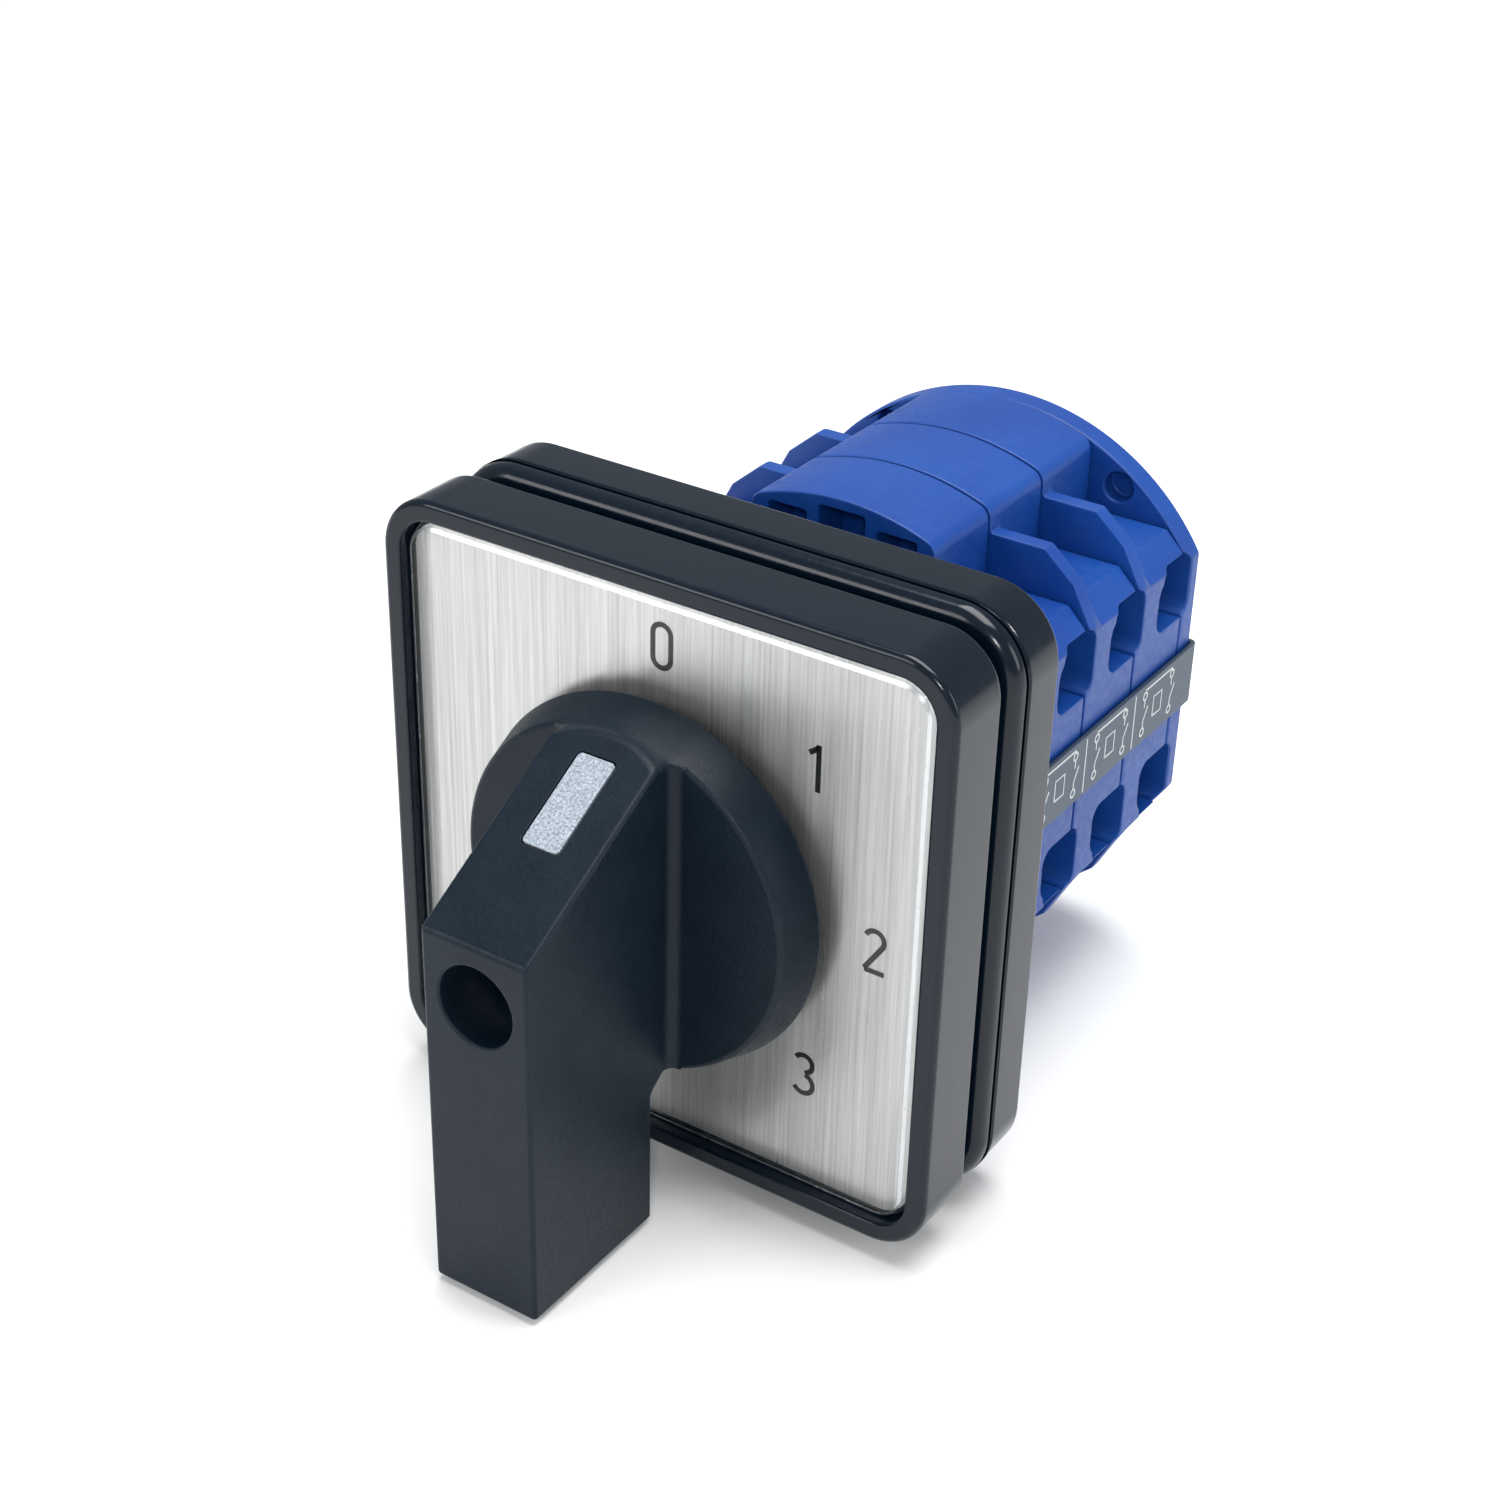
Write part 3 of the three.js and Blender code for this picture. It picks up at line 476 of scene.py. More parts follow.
def complete(obj, name, body, slot, *nodes, material=None):
    """Scales a drawn piece to metres, shades and names it, and hands it to the frame."""
    obj.name = name
    obj.data.name = name
    obj.data.transform(obj.matrix_world)
    obj.matrix_world = Matrix.Identity(4)
    obj.data.transform(Matrix.Scale(MM, 4))
    obj.data.materials.clear()
    obj.data.materials.append(material or MATERIALS[slot])
    obj.data.shade_smooth()
    obj.data.set_sharp_from_angle(angle=math.radians(SMOOTH_ANGLE))
    weigh = obj.modifiers.new("normals", "WEIGHTED_NORMAL")
    weigh.keep_sharp = True
    weigh.weight = 80
    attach(obj, body)
    if nodes:
        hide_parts(*nodes)
    return obj


# ---------------------------------------------------------------- front of panel

FRAME_CORNER = 6.0
COVER_CORNER = 3.5
COVER_BEVEL = 0.75
BEVEL_FALL = 0.7  # depth of the cover's bevel for each millimetre of its width
# width of the band that carries the painted highlight on the cover's bevel
HIGHLIGHT_BAND_WIDTH = 0.35
LABEL_CORNER = 3.2
SHAFT_OPENING = 8.5  # radius, in the cover and the label
COLLAR_OPENING = 14.0
COLLAR_RADIUS = 13.4
SHAFT_BORE = 5.5
SCREW_SEAT_Y = -3.6


def screw_places():
    """Centres (x, z) of the four panel screws."""
    places = []
    for i in range(1, 5):
        low, high = cad(f"panel_screw_{i}")
        places.append(((low.x + high.x) / 2, (low.z + high.z) / 2))
    return places


def front_frame():
    low, high = cad("front_frame")
    side = high.x - low.x
    cover_low, cover_high = cad("clear_cover")
    label_high = cad("label_plate")[1]
    recess = cover_high.x - cover_low.x + 0.6
    rim = (side - recess) / 2
    recess_outline = rounded_rectangle(recess, recess, FRAME_CORNER - rim, 12)
    body = prism(rounded_rectangle(side, side, FRAME_CORNER, 14), low.y, high.y)
    recess_cut = prism(recess_outline, low.y - 1, label_high.y + 0.15)
    holes = [rod_y(2.1, -6, 1, x, z, 24) for x, z in screw_places()]
    seats = [rod_y(3.9, -6.5, SCREW_SEAT_Y, x, z, 32) for x, z in screw_places()]
    cut(body, recess_cut, rod_y(COLLAR_OPENING, low.y, 1), *seats, *holes)

    def weight(edge):
        """Edges outside the recess are rounded most."""
        reach = max(max(abs(v.co.x), abs(v.co.z)) for v in edge.verts)
        return 1.0 if reach > recess / 2 + 0.5 else 0.45

    ease_edges(body, 0.7, 4, chosen=weight)
    return complete(body, "front_frame_shell", "base", "black_satin", "front_frame")


def cover_ring(inset, y):
    """The cover's outline, drawn in by inset, at y."""
    low, high = cad("clear_cover")
    side = high.x - low.x - 2 * inset
    return ring_at(rounded_rectangle(side, side, COVER_CORNER - inset, 14), y)


def clear_cover():
    low, high = cad("clear_cover")
    corners = ((0, high.y), (0, low.y + COVER_BEVEL * BEVEL_FALL), (COVER_BEVEL, low.y))
    body = from_rings([cover_ring(inset, y) for inset, y in corners])
    cut(body, rod_y(SHAFT_OPENING, low.y - 1, high.y + 1))
    ease_edges(body, 0.12, 2, 25)
    return complete(body, "clear_cover_sheet", "base", "clear_cover", "clear_cover")


def cover_edge():
    """A thin band lying on the bevel of the clear cover, carrying a painted highlight along its polished
    edge.
    """
    front = cad("clear_cover")[0].y
    outer = COVER_BEVEL - HIGHLIGHT_BAND_WIDTH
    rear = front + HIGHLIGHT_BAND_WIDTH * BEVEL_FALL
    inside, proud = 0.04, 0.02
    corners = (
        (outer, rear + inside),
        (outer, rear - proud),
        (COVER_BEVEL, front - proud),
        (COVER_BEVEL, front + inside),
    )
    rings = [cover_ring(inset, y) for inset, y in corners]
    band = from_rings(rings + rings[:1], closed=False)
    bm = bmesh.new()
    bm.from_mesh(band.data)
    bmesh.ops.remove_doubles(bm, verts=bm.verts, dist=0.001)
    bm.to_mesh(band.data)
    bm.free()
    return complete(band, "clear_cover_highlight_band", "base", "clear_cover", material=PAINTED_HIGHLIGHT_EDGE)


def label_plate():
    low, high = cad("label_plate")
    side = high.x - low.x
    body = prism(rounded_rectangle(side, side, LABEL_CORNER, 12), low.y, high.y)
    cut(body, rod_y(SHAFT_OPENING, low.y - 1, high.y + 1))
    ease_edges(body, 0.06, 2)
    return complete(body, "label_plate_sheet", "base", "label_plate", "label_plate")


DIGIT_HEIGHT = 4.9
DIGIT_STROKE = 0.54
DIGIT_RADIUS = 24.1
POSITION_ANGLE = 45


def ribbon(points, width, y0, y1, closed=False):
    """A flat stroke of even width along (x, z) points, with the given depth in Y."""
    count = len(points)
    left, right = [], []
    for i, (x, z) in enumerate(points):
        before = points[i - 1] if (i or closed) else points[i]
        after = points[(i + 1) % count] if (i < count - 1 or closed) else points[i]
        dx, dz = after[0] - before[0], after[1] - before[1]
        length = math.hypot(dx, dz)
        nx, nz = -dz / length * width / 2, dx / length * width / 2
        left.append((x + nx, z + nz))
        right.append((x - nx, z - nz))
    bm = bmesh.new()
    rows = []
    for (lx, lz), (rx, rz) in zip(left, right):
        rows.append([bm.verts.new(p) for p in ((lx, y0, lz), (rx, y0, rz), (rx, y1, rz), (lx, y1, lz))])
    if closed:
        rows.append(rows[0])
    for a, b in zip(rows, rows[1:]):
        for k in range(4):
            bm.faces.new((a[k], a[(k + 1) % 4], b[(k + 1) % 4], b[k]))
    if not closed:
        bm.faces.new(rows[0])
        bm.faces.new(list(reversed(rows[-1])))
    bmesh.ops.recalc_face_normals(bm, faces=bm.faces)
    mesh = bpy.data.meshes.new("ribbon")
    bm.to_mesh(mesh)
    bm.free()
    return make_object("ribbon", mesh)


def digit_strokes(digit):
    """Strokes of a plain sans digit about its centre, in units of its height."""
    wide, tall = 0.205, 0.455
    if digit == 0:
        upper = arc(0, tall - wide, wide, 0, 180, 14)
        lower = arc(0, wide - tall, wide, 180, 360, 14)
        return [(upper + lower, True)]
    if digit == 1:
        flag = [(-0.15, 0.29), (0.0, 0.40), (0.055, tall)]
        stem = [(0.055, 0.5), (0.055, -0.5)]
        return [(flag, False), (stem, False)]
    if digit == 2:
        crown = arc(0, tall - wide, wide, 160, -35, 16)
        foot = [(-wide, -tall), (wide + 0.03, -tall)]
        return [(crown + [(-wide, -tall + 0.02)], False), (foot, False)]
    bowl = wide + 0.02
    upper = arc(-0.01, tall - wide, wide, 150, -80, 14)
    lower = arc(-0.01, bowl - tall, bowl, 80, -150, 14)
    return [(upper, False), (lower, False)]


def merge(parts):
    """Several drawn pieces as one object, each still its own closed shell."""
    bm = bmesh.new()
    for part in parts:
        part.data.transform(part.matrix_world)
        bm.from_mesh(part.data)
        bpy.data.objects.remove(part)
    mesh = bpy.data.meshes.new("merged")
    bm.to_mesh(mesh)
    bm.free()
    return make_object("merged", mesh)


def label_digits():
    """The four position digits, printed on the label round the handle."""
    face = cad("label_plate")[0].y
    for digit in range(4):
        angle = math.radians(POSITION_ANGLE * digit)
        cx, cz = DIGIT_RADIUS * math.sin(angle), DIGIT_RADIUS * math.cos(angle)
        parts = []
        for points, closed in digit_strokes(digit):
            placed = [(cx + DIGIT_HEIGHT * x, cz + DIGIT_HEIGHT * z) for x, z in points]
            parts.append(ribbon(placed, DIGIT_STROKE, face - 0.03, face + 0.01, closed))
        shape = merge(parts)
        complete(shape, f"position_digit_{digit}", "base", "black_satin", material=BLACK_INK)


# ---------------------------------------------------------------- handle

SKIRT_THICKNESS = 4.9
SKIRT_TAPER = 1.3
LEVER_HALF_WIDTH = 6.0
LEVER_DEPTH = 18.6
SLOPE_FOOT_Z = 6.3
SLOPE_TOP = (2.9, 20.4)  # distance behind the skirt's front face, and height
WELL_RADIUS = 4.1
WELL_FLOOR_Y = -26.2
SOCKET_HALF = 3.8
SOCKET_FLOOR_Y = -20.2
POCKET_MARGIN = 0.3
INSERT_WIDTH = 4.1
INSERT_LENGTH = 10.2
INSERT_UPHILL = 16.1


def lever_outline():
    """The lever seen from the side, as (y, z) points."""
    low, high = cad("handle")
    front, bottom = low.y, low.z
    skirt = high.y - SKIRT_THICKNESS
    back = front + LEVER_DEPTH
    root = skirt + SLOPE_TOP[0]
    return [
        (root, 15.2), (root, SLOPE_TOP[1]), (front, SLOPE_FOOT_Z), (front, bottom), (back, bottom),
        (back, -18.4), (skirt, -16.4), (root, -14),
    ]


def lever_shape(low, rear, skirt_front, front_radius):
    """The lever. Its upper end follows the skirt's front edge, and is narrower inside the skirt."""
    inner_radius, neck = front_radius - 1, skirt_front + 0.6
    envelope = turned([
        (inner_radius, rear + 1), (inner_radius, neck), (front_radius, neck), (front_radius, low.y - 1),
    ], 128)
    trimmings = cut(block(-8, 8, low.y - 2, rear + 2, 0.5, 22), envelope)
    return cut(prism_x(lever_outline(), -LEVER_HALF_WIDTH, LEVER_HALF_WIDTH), trimmings)


def insert_pocket():
    width, length = INSERT_WIDTH + POCKET_MARGIN, INSERT_LENGTH + POCKET_MARGIN
    pocket = prism(rounded_rectangle(width, length, 0.65, 6), -1.0, 0.75)
    pocket.matrix_world = insert_place()
    return pocket


def handle_shell():
    low, high = cad("handle")
    rear, radius = high.y, high.x
    skirt_front = rear - SKIRT_THICKNESS
    front_radius = radius - SKIRT_TAPER
    skirt = turned([(radius, rear), (radius, rear - 0.5), (front_radius, skirt_front)], 128)
    join(skirt, lever_shape(low, rear, skirt_front, front_radius))
    cut(
        skirt,
        rod_y(WELL_RADIUS, low.y - 1, WELL_FLOOR_Y, steps=64),
        rod_y(2.3, WELL_FLOOR_Y - 0.8, rear + 1, steps=32),
        block(-SOCKET_HALF, SOCKET_HALF, SOCKET_FLOOR_Y, rear + 1, -SOCKET_HALF, SOCKET_HALF),
        insert_pocket(),
    )

    def weight(edge):
        """The lever's foot on the skirt gets the full width, the well and the pocket little."""
        middle = (edge.verts[0].co + edge.verts[1].co) / 2
        from_axis = math.hypot(middle.x, middle.z)
        beside_lever = abs(abs(middle.x) - LEVER_HALF_WIDTH) < 0.05
        if beside_lever and abs(middle.y - skirt_front) < 0.05:
            return 1.0
        if from_axis < WELL_RADIUS + 0.2:
            return 0.25
        in_pocket = abs(middle.x) < INSERT_WIDTH / 2 + 0.55 and middle.z > 7 and from_axis < 17.3
        return 0.08 if in_pocket else 0.38

    ease_edges(skirt, 1.3, 4, 28, chosen=weight)
    return complete(skirt, "handle_shell", "rotor", "handle_plastic", "handle")


def insert_place():
    """Where the pointer insert lies: its own Z runs up the lever's slope and its Y into the lever."""
    low, high = cad("handle")
    foot = Vector((0, low.y, SLOPE_FOOT_Z))
    top = Vector((0, high.y - SKIRT_THICKNESS + SLOPE_TOP[0], SLOPE_TOP[1]))
    up = (top - foot).normalized()
    inward = Vector((0, up.z, -up.y))
    turn = Matrix((Vector((1, 0, 0)), inward, up)).transposed().to_4x4()
    return Matrix.Translation(foot + INSERT_UPHILL * up) @ turn


def pointer_insert():
    body = prism(rounded_rectangle(INSERT_WIDTH, INSERT_LENGTH, 0.5, 8), -0.03, 0.6)
    body.matrix_world = insert_place()
    body.data.transform(body.matrix_world)
    body.matrix_world = Matrix.Identity(4)
    ease_edges(body, 0.12, 2)
    return complete(body, "pointer_insert_plate", "rotor", "pointer_insert", "pointer_insert")


def cross_slots(y0, y1, size, width):
    """Two crossed slots for a screwdriver, about the Y axis, as half lengths and half widths."""
    return [block(-size, size, y0, y1, -width, width), block(-width, width, y0, y1, -size, size)]


def handle_screw():
    low, high = cad("handle_screw")
    dome = [(3.3, 2.3), (3.5, 1.9), (3.45, 0.9), (2.7, 0.2), (1.2, 0)]
    head = turned([(radius, low.y + depth) for radius, depth in dome], 64)
    shank = turned([(1.9, low.y + 1.5), (1.9, high.y - 0.6), (1.4, high.y)], 32)
    join(head, shank)
    cut(head, *cross_slots(low.y - 1, low.y + 1.6, 2.0, 0.38))
    ease_edges(head, 0.12, 2)
    return complete(head, "handle_screw_body", "rotor", "steel", "handle_screw")


# ---------------------------------------------------------------- behind the panel

FLANGE_FRONT_Y = 2.5
FLANGE_CORNER = 7.0
FLANGE_LIP = 1.6
FLANGE_WALL = 3.0
POCKET_DEPTH = 3.5


def flange_profile(rear):
    """How far the flange's side is drawn in, as (inset, y): a round lip, then a fine groove."""
    profile = []
    for step in range(7):
        t = math.radians(15 * step)
        profile.append((FLANGE_LIP * (1 - math.sin(t)), FLANGE_FRONT_Y + FLANGE_LIP * (1 - math.cos(t))))
    groove = ((0, 2.1), (0.22, 2.2), (0.22, 2.45), (0, 2.55))
    profile += [(inset, FLANGE_FRONT_Y + depth) for inset, depth in groove]
    return profile + [(0, rear)]


def flange_pocket(side, rear):
    """The hollow in the flange's rear face, round the seat, the screw bosses and the ribs."""
    inner = side - 2 * FLANGE_WALL
    floor_y, behind = rear - POCKET_DEPTH - 0.5, rear + 2
    outline = rounded_rectangle(inner, inner, FLANGE_CORNER - FLANGE_WALL, 10)
    pocket = prism(outline, rear - POCKET_DEPTH, rear + 1)
    seat = prism(rounded_rectangle(2 * HALF_WIDTH, 2 * HALF_WIDTH, 5, 8), floor_y, behind)
    bosses = [rod_y(4.6, floor_y, behind, x, z, 36) for x, z in screw_places()]
    ribs = []
    for sign in (1, -1):
        for offset in (-9, 9):
            along, across = span(sign, 22, 30), (offset - 0.6, offset + 0.6)
            ribs.append(block(*along, floor_y, rear - 1.2, *across))
            ribs.append(block(*across, floor_y, rear - 1.2, *along))
    return cut(pocket, seat, *bosses, *ribs)


def rear_flange():
    low, high = cad("rear_flange")
    side = high.x - low.x
    rings = []
    for inset, y in flange_profile(high.y):
        width = side - 2 * inset
        rings.append(ring_at(rounded_rectangle(width, width, FLANGE_CORNER - inset, 14), y))
    body = from_rings(rings)
    join(body, rod_y(COLLAR_RADIUS, low.y, FLANGE_FRONT_Y + 1))
    pocket = flange_pocket(side, high.y)
    holes = [rod_y(2.05, FLANGE_FRONT_Y - 1, high.y + 1, x, z, 28) for x, z in screw_places()]
    cut(body, pocket, rod_y(SHAFT_BORE, low.y - 1, high.y + 1), *holes)
    ease_edges(body, 0.35, 3, 40)
    return complete(body, "rear_flange_shell", "base", "black_satin", "rear_flange")


def index_housing():
    low, high = cad("index_housing")
    half, chop = high.x, 8.5
    outline = fourfold([(0, half), (half - chop, half), (half, half - chop), (half, 0)])
    inner = half - 2.5
    cavity = fourfold([(0, inner), (inner - chop + 1, inner), (inner, inner - chop + 1), (inner, 0)])
    body = prism(outline, low.y, high.y)
    cut(body, prism(cavity, low.y + 1.6, high.y + 1), rod_y(5.8, low.y - 1, high.y + 1))
    ease_edges(body, 0.5, 3)
    return complete(body, "index_housing_shell", "base", "black_satin", "index_housing")


# ---------------------------------------------------------------- contact stages

BULGE_RADIUS = 27.6
BULGE_HALF = 10.9
WALL = 2.0
FLOOR = 17.7
SIDE_CORNER = (HALF_WIDTH, 15.0)
SCREW_X = 14.0
SCREW_FROM_REAR = 3.6
PORT_LOW = 8.0
PORT_HIGH = 15.4
MOUTH_DEPTH = 1.2
WINDOW_DEPTH = 5
WINDOW_FOOT_Z = 20.4
BOLT_PLACE = (7.5, 18)
BOLT_HOLE = 2.0


def bulge_quarter():
    """The crown of the bulge and its rounded shoulder, from the top centre outwards."""
    shoulder = 1.7
    # The shoulder's circle touches the crown from inside and the bulge's flank.
    cx = BULGE_HALF - shoulder
    cz = math.sqrt((BULGE_RADIUS - shoulder) ** 2 - cx**2)
    meets = math.degrees(math.atan2(cz, cx))
    return arc(0, 0, BULGE_RADIUS, 90, meets, 14) + arc(cx, cz, shoulder, meets, 0, 7)[1:]


def stage_outline(*shoulder):
    return fourfold([*bulge_quarter(), *shoulder, (HALF_WIDTH, 0)])


def port_outline(length, end):
    """A wire port seen from the side, as (y, z) points, open past the rear face."""
    low, high, front = PORT_LOW, PORT_HIGH, length - 6.0
    corner = 1.7
    points = [(length + 1, low), (length + 1, high), (front + 2.0, high), (front + 1.35, high - 0.25)]
    points += [(front + 0.95, high - 0.9), (front + 0.85, high - 1.5), (front + 0.3, high - 2.2)]
    points += [(front + 0.05, high - 3.0)]
    points += arc(front + corner, low + corner, corner, 180, 270, 7)
    return [(y, end * z) for y, z in points]


def port_mouth(side, end, front=0.0):
    """The shallow rounded notch in the front of a piece that closes the port before it."""
    back, corner = front + MOUTH_DEPTH, 1.6
    points = [(front - 1, PORT_HIGH), (front - 1, PORT_LOW)]
    points += arc(back - corner, PORT_LOW + corner, corner, 270, 360, 7)
    points += arc(back - corner, PORT_HIGH - corner, corner, 0, 90, 7)
    return prism_x([(y, end * z) for y, z in points], *span(side, 17, HALF_WIDTH + 1))


def side_hollows(side, length):
    """What is cut out of one side of a stage: window, bolt hole, ports, screw wells and contact spaces."""
    rear = length + 1
    tools = [
        block(*span(side, 4.2, 8.7), -1, WINDOW_DEPTH, WINDOW_FOOT_Z, 25.2),
        rod_y(BOLT_HOLE, -1, rear, side * BOLT_PLACE[0], side * BOLT_PLACE[1], 24),
    ]
    for end in ENDS.values():
        tools.append(prism_x(port_outline(length, end), *span(side, 10.8, HALF_WIDTH + 1)))
        tools.append(port_mouth(side, end))
        well = span(end, 13.4, FLOOR + 1)
        tools.append(rod_z(2.1, *well, side * SCREW_X, length - SCREW_FROM_REAR))
    tools.append(block(*span(side, 8, 20), 4.9, rear, -9.6, 9.6))
    tools.append(block(*span(side, 8, 14.8), 2.4, rear, -3, 3))
    return tools


def stage_shape(length):
    """One stage housing with its front face at y = 0."""
    flank = BULGE_HALF + 0.1
    wall = prism(stage_outline((flank, 22.8), (17.2, 22.8), (20.8, 19.7), SIDE_CORNER), 0, WALL)
    rear = prism(stage_outline((flank, FLOOR), (20.6, FLOOR), SIDE_CORNER), WALL - 0.4, length)
    join(wall, rear)
    middle_window = block(-2.7, 2.7, -1, WINDOW_DEPTH, WINDOW_FOOT_Z, 26.3)
    tools = [rod_y(9.8, 2.1, length + 1), rod_y(5.8, -1, 3), middle_window]
    for side in SIDES.values():
        tools += side_hollows(side, length)
    cut(wall, *tools)
    return ease_edges(wall, 0.28, 2, 30)


def contact_stages():
    first_low, first_high = cad("stage_housing_1")
    length = first_high.y - first_low.y
    shape = stage_shape(length)
    for index in STAGES:
        copy = make_object("stage", shape.data.copy())
        copy.data.transform(Matrix.Translation((0, cad(f"stage_housing_{index}")[0].y, 0)))
        complete(copy, f"stage_{index}_shell", "base", "blue_plastic", f"stage_housing_{index}")
    bpy.data.objects.remove(shape)


def end_plate():
    low, high = cad("end_plate")
    radius = high.z
    side_angle = math.degrees(math.acos(HALF_WIDTH / radius))
    outline = fourfold(arc(0, 0, radius, 90, side_angle, 28) + [(HALF_WIDTH, 0)])
    body = prism(outline, low.y, high.y)
    dimples = [rod_y(1.7, low.y - 1, low.y + 2, sx * 14.3, sz * 20.7, 32) for sx, sz in CORNERS]
    mouths = [port_mouth(sx, sz, low.y) for sx, sz in CORNERS]
    bolt_x, bolt_z = BOLT_PLACE
    bolts = [rod_y(BOLT_HOLE, low.y - 1, high.y + 1, s * bolt_x, s * bolt_z, 32) for s in (1, -1)]
    ring = cut(rod_y(9.0, high.y - 0.5, high.y + 1), rod_y(8.0, high.y - 1, high.y + 2))
    cut(body, *dimples, *mouths, *bolts, ring, rod_y(3.5, low.y - 1, high.y + 1))
    ease_edges(body, 0.3, 3)
    return complete(body, "end_plate_shell", "base", "blue_plastic", "end_plate")


def tie_bolts():
    for index in (1, 2):
        low, high = cad(f"tie_bolt_{index}")
        cx, cz = (low.x + high.x) / 2, (low.z + high.z) / 2
        seat = high.y - 2.0
        dome = [(3.1, seat), (3.3, seat + 0.3), (3.25, seat + 1.1), (2.6, seat + 1.7), (1.3, high.y)]
        head = turned(dome, 64)
        join(head, turned([(1.2, low.y), (1.7, low.y + 0.6), (1.7, seat + 0.5)], 32))
        cut(head, *cross_slots(seat + 0.7, high.y + 1, 1.9, 0.36))
        ease_edges(head, 0.12, 2)
        head.matrix_world = Matrix.Translation((cx, 0, cz))
        bpy.context.view_layer.update()
        complete(head, f"tie_bolt_{index}_body", "base", "steel", f"tie_bolt_{index}")


def terminal_shape():
    """A contact strip, wire clamp and clamp screw for the upper right corner, about y = 0."""
    strip = block(11.1, 12.4, -1.6, 1.6, 6.5, 12.6)
    join(strip, block(11.1, 16.8, -1.6, 1.6, 11, 12), block(12.2, 16.8, -1.3, 1.3, 9.6, 14.1))
    cut(strip, block(13, 18, -0.9, 0.9, 12, 13.2))
    ease_edges(strip, 0.15, 2)
    screw = rod_z(1.8, 13.8, 16.8, SCREW_X, 0)
    cut(screw, block(11, 17, -0.35, 0.35, 16.1, 18))
    ease_edges(screw, 0.2, 2)
    return merge([strip, screw])


def terminals():
    shape = terminal_shape()
    for index in STAGES:
        for side, sx in SIDES.items():
            for end, sz in ENDS.items():
                node = f"terminal_{index}_{side}_{end}"
                low, high = cad(node)
                # Half turns about Y and X carry the upper right terminal to the other corners.
                turn = Matrix.Rotation(0 if sx > 0 else math.pi, 4, "Y")
                if sx * sz < 0:
                    turn = turn @ Matrix.Rotation(math.pi, 4, "X")
                copy = make_object("terminal", shape.data.copy())
                copy.data.transform(Matrix.Translation((0, (low.y + high.y) / 2, 0)) @ turn)
                complete(copy, f"{node}_clamp", "base", "brass", node)
    bpy.data.objects.remove(shape)


def diagram_strip():
    low, high = cad("diagram_strip")
    thickness, half, bend = 0.5, high.z, 0.9
    outer = [(high.x, low.y), (high.x, high.y - bend)]
    outer += arc(high.x - bend, high.y - bend, bend, 0, 90, 6)[1:] + [(low.x, high.y)]
    inner_bend = bend - thickness
    inner = [(low.x, high.y - thickness)]
    inner += list(reversed(arc(high.x - bend, high.y - bend, inner_bend, 0, 90, 6)))
    inner += [(high.x - thickness, low.y)]
    outline = outer + inner
    body = from_rings([[(x, y, z) for x, y in outline] for z in (-half, half)])
    ease_edges(body, 0.1, 2, 50)
    return complete(body, "diagram_strip_plate", "base", "strip_metal", "diagram_strip")


def strip_symbols():
    """Generic contact symbols, one cell for each stage, printed along the strip."""
    face, line = cad("diagram_strip")[1].x, 0.22
    parts = []

    def stroke(points):
        """A stroke through (y, z) points, laid on the strip's outer face."""
        drawn = ribbon(points, line, -0.03, 0.005)
        # ribbon draws in (x, z) with depth in Y: turn it so that its first axis runs along Y.
        drawn.data.transform(Matrix(((0, -1, 0, face), (1, 0, 0, 0), (0, 0, 1, 0), (0, 0, 0, 1))))
        parts.append(drawn)

    def ring(cy, cz, radius):
        points = circle(radius, 16, cy, cz)
        stroke(points + points[:1])

    for index in STAGES:
        stage_low, stage_high = cad(f"stage_housing_{index}")
        y0, y1 = stage_low.y + 0.7, stage_high.y - 0.7
        middle = (y0 + y1) / 2
        left, right = middle - 1.0, middle + 1.0
        for cy in (y0 + 1.5, y1 - 1.5):
            ring(cy, 2.2, 0.45)
            ring(cy, -2.2, 0.45)
            stroke([(cy, 1.7), (cy, 0.8)])
            stroke([(cy, -1.7), (cy, -0.8)])
            stroke([(cy, -0.8), (cy + 0.9, 0.7)])
        stroke([(y0 + 1.5, 2.9), (y1 - 1.5, 2.9)])
        stroke([(left, -1.2), (right, -1.2), (right, 1.2), (left, 1.2), (left, -1.2)])
        if index < STAGES[-1]:
            stroke([(stage_high.y + 0.15, -3.2), (stage_high.y + 0.15, 3.2)])
    shape = merge(parts)
    return complete(shape, "strip_symbols", "base", "strip_metal", material=PALE_INK)


# ---------------------------------------------------------------- springs

SPRING_WIRE = 0.6
SPRING_TURNS = 4


def coil(radius, length):
    """A compression spring along X, centred on the origin; radius and length are its wire's middle line."""
    around, sides = 24, 10
    count = SPRING_TURNS * around
    rise = length / (2 * math.pi * SPRING_TURNS)
    rings = []
    for step in range(count + 1):
        turn = 2 * math.pi * step / around
        outward = Vector((0, math.cos(turn), math.sin(turn)))
        along = Vector((rise, -radius * math.sin(turn), radius * math.cos(turn))).normalized()
        side = along.cross(outward)
        centre = Vector((length * (step / count - 0.5), 0, 0)) + radius * outward
        section = circle(SPRING_WIRE / 2, sides)
        rings.append([centre + a * outward + b * side for a, b in section])
    return from_rings(rings)


def spring(node, axis, outer):
    """A round-wire coil in a CAD spring's place. Its length is fixed; the seat on its outer side is found but
    not used.
    """
    low, high = cad(node)
    length = high[axis] - low[axis]
    shape = coil((high.y - low.y - SPRING_WIRE) / 2, length - SPRING_WIRE)
    upright = Matrix.Rotation(math.radians(-90), 4, "Y") if axis == 2 else Matrix.Identity(4)
    shape.matrix_world = Matrix.Translation((low + high) / 2) @ upright
    complete(shape, node + "_coil", "base", "steel", node)
    seat = (low + high) / 2
    seat[axis] = high[axis] if outer > 0 else low[axis]
    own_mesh(shape)


def springs():
    for side, sign in SIDES.items():
        for index in STAGES:
            spring(f"contact_spring_{index}_{side}", 0, sign)
    for end, sign in ENDS.items():
        spring(f"index_spring_{end}", 2, sign)


# ---------------------------------------------------------------- pieces carried over


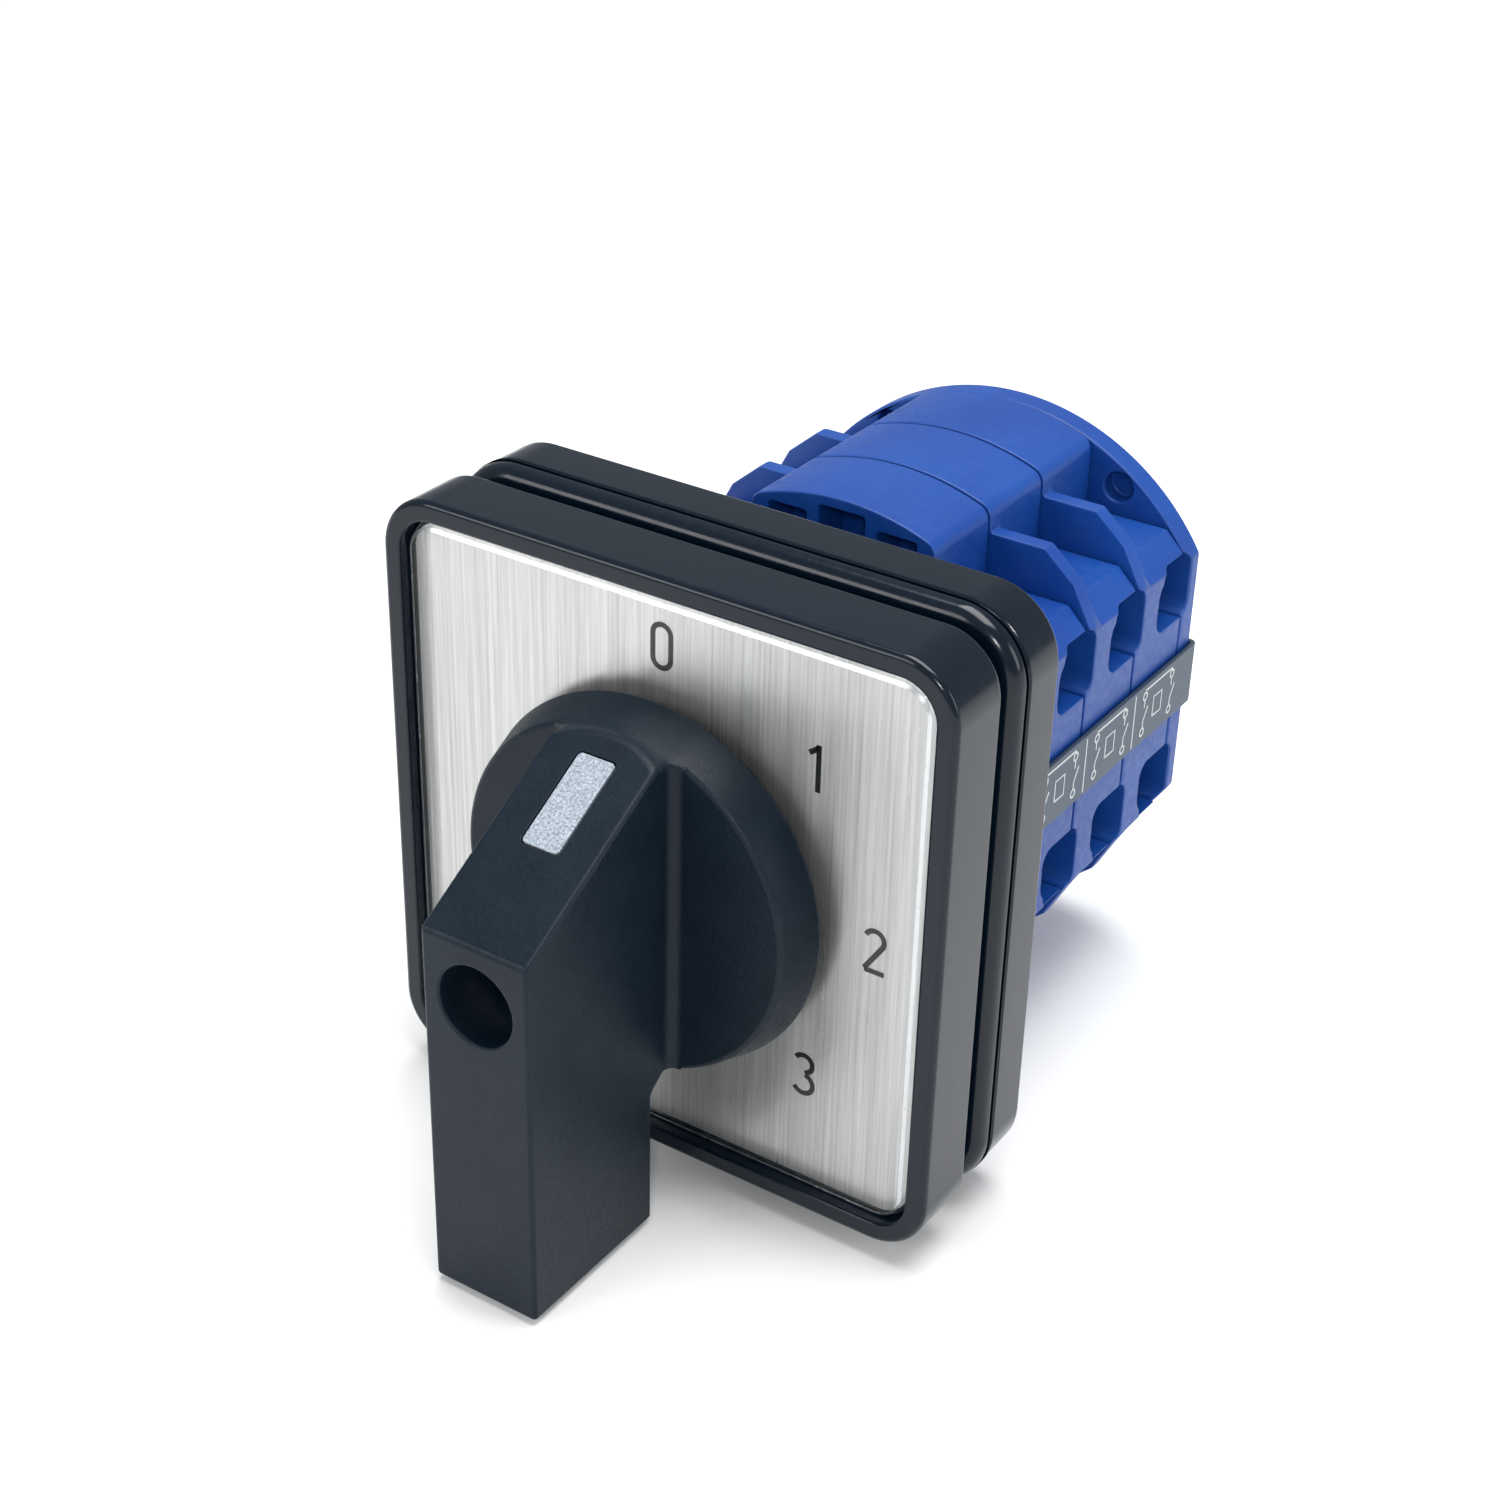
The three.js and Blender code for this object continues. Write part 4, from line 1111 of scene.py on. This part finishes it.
def carried_over():
    """CAD nodes that keep their shape get the detailed materials."""
    slots = {s["node"]: s["material_slot"] for s in frame["record"]["subparts"]}
    for name, obj in frame["nodes"].items():
        if obj.hide_render:
            continue
        material = MATERIALS[slots[name]]
        obj.data.materials.clear()
        obj.data.materials.append(material)
        obj.data.polygons.foreach_set("material_index", [0] * len(obj.data.polygons))


# ---------------------------------------------------------------- scene


def floor(height):
    bpy.ops.mesh.primitive_plane_add(size=6, location=(0, 0, height))
    plane = bpy.context.object
    plane.name = "floor"
    paint = Painter("floor", (0.86, 0.86, 0.86), 0.7)
    paint.tint(paint.noise(0.02, 2.0), (0.85, 0.85, 0.85), (0.87, 0.87, 0.87))
    plane.data.materials.append(paint.material)


def area_light(name, place, target, size, energy):
    data = bpy.data.lights.new(name, "AREA")
    data.shape = "RECTANGLE"
    data.size, data.size_y = size
    data.energy = energy
    lamp = bpy.data.objects.new(name, data)
    bpy.context.scene.collection.objects.link(lamp)
    lamp.location = place
    lamp.rotation_euler = (Vector(target) - Vector(place)).to_track_quat("-Z", "Y").to_euler()


def lights():
    world = bpy.data.worlds.new("studio")
    world.use_nodes = True
    background = world.node_tree.nodes["Background"]
    background.inputs["Color"].default_value = (0.93, 0.97, 1.0, 1)
    background.inputs["Strength"].default_value = 0.45
    bpy.context.scene.world = world
    bpy.context.scene.view_settings.view_transform = "Standard"
    middle = (0, 0.01, 0)
    area_light("top", (0.05, 0.1, 0.9), middle, (0.8, 0.5), 11)
    area_light("right", (0.9, 0.25, 0.3), middle, (0.3, 0.5), 2)
    area_light("front", (-0.5, -0.9, 0.5), middle, (0.6, 0.4), 4)
    area_light("fill", (0.3, -0.45, 0.32), middle, (0.08, 0.08), 1.0)


def camera():
    """The view, from the right, above and in front."""
    data = bpy.data.cameras.new("camera")
    data.sensor_width = 36
    data.lens = 62.09
    made = bpy.data.objects.new("camera", data)
    bpy.context.scene.collection.objects.link(made)
    place = Vector((0.12173, -0.17747, 0.13383))
    azimuth, elevation, roll = (math.radians(a) for a in (33.16, 29.85, 1.47))
    back = Vector((
        math.sin(azimuth) * math.cos(elevation),
        -math.cos(azimuth) * math.cos(elevation),
        math.sin(elevation),
    ))
    turn = (-back).to_track_quat("-Z", "Y").to_matrix().to_4x4()
    made.matrix_world = Matrix.Translation(place) @ turn @ Matrix.Rotation(roll, 4, "Z")
    data.clip_start = 0.01
    bpy.context.scene.camera = made


camera()
front_frame()
clear_cover()
cover_edge()
label_plate()
label_digits()
handle_shell()
pointer_insert()
handle_screw()
rear_flange()
index_housing()
contact_stages()
end_plate()
tie_bolts()
terminals()
diagram_strip()
strip_symbols()
springs()
carried_over()
floor(cad_box[0].z - 0.0006)
lights()
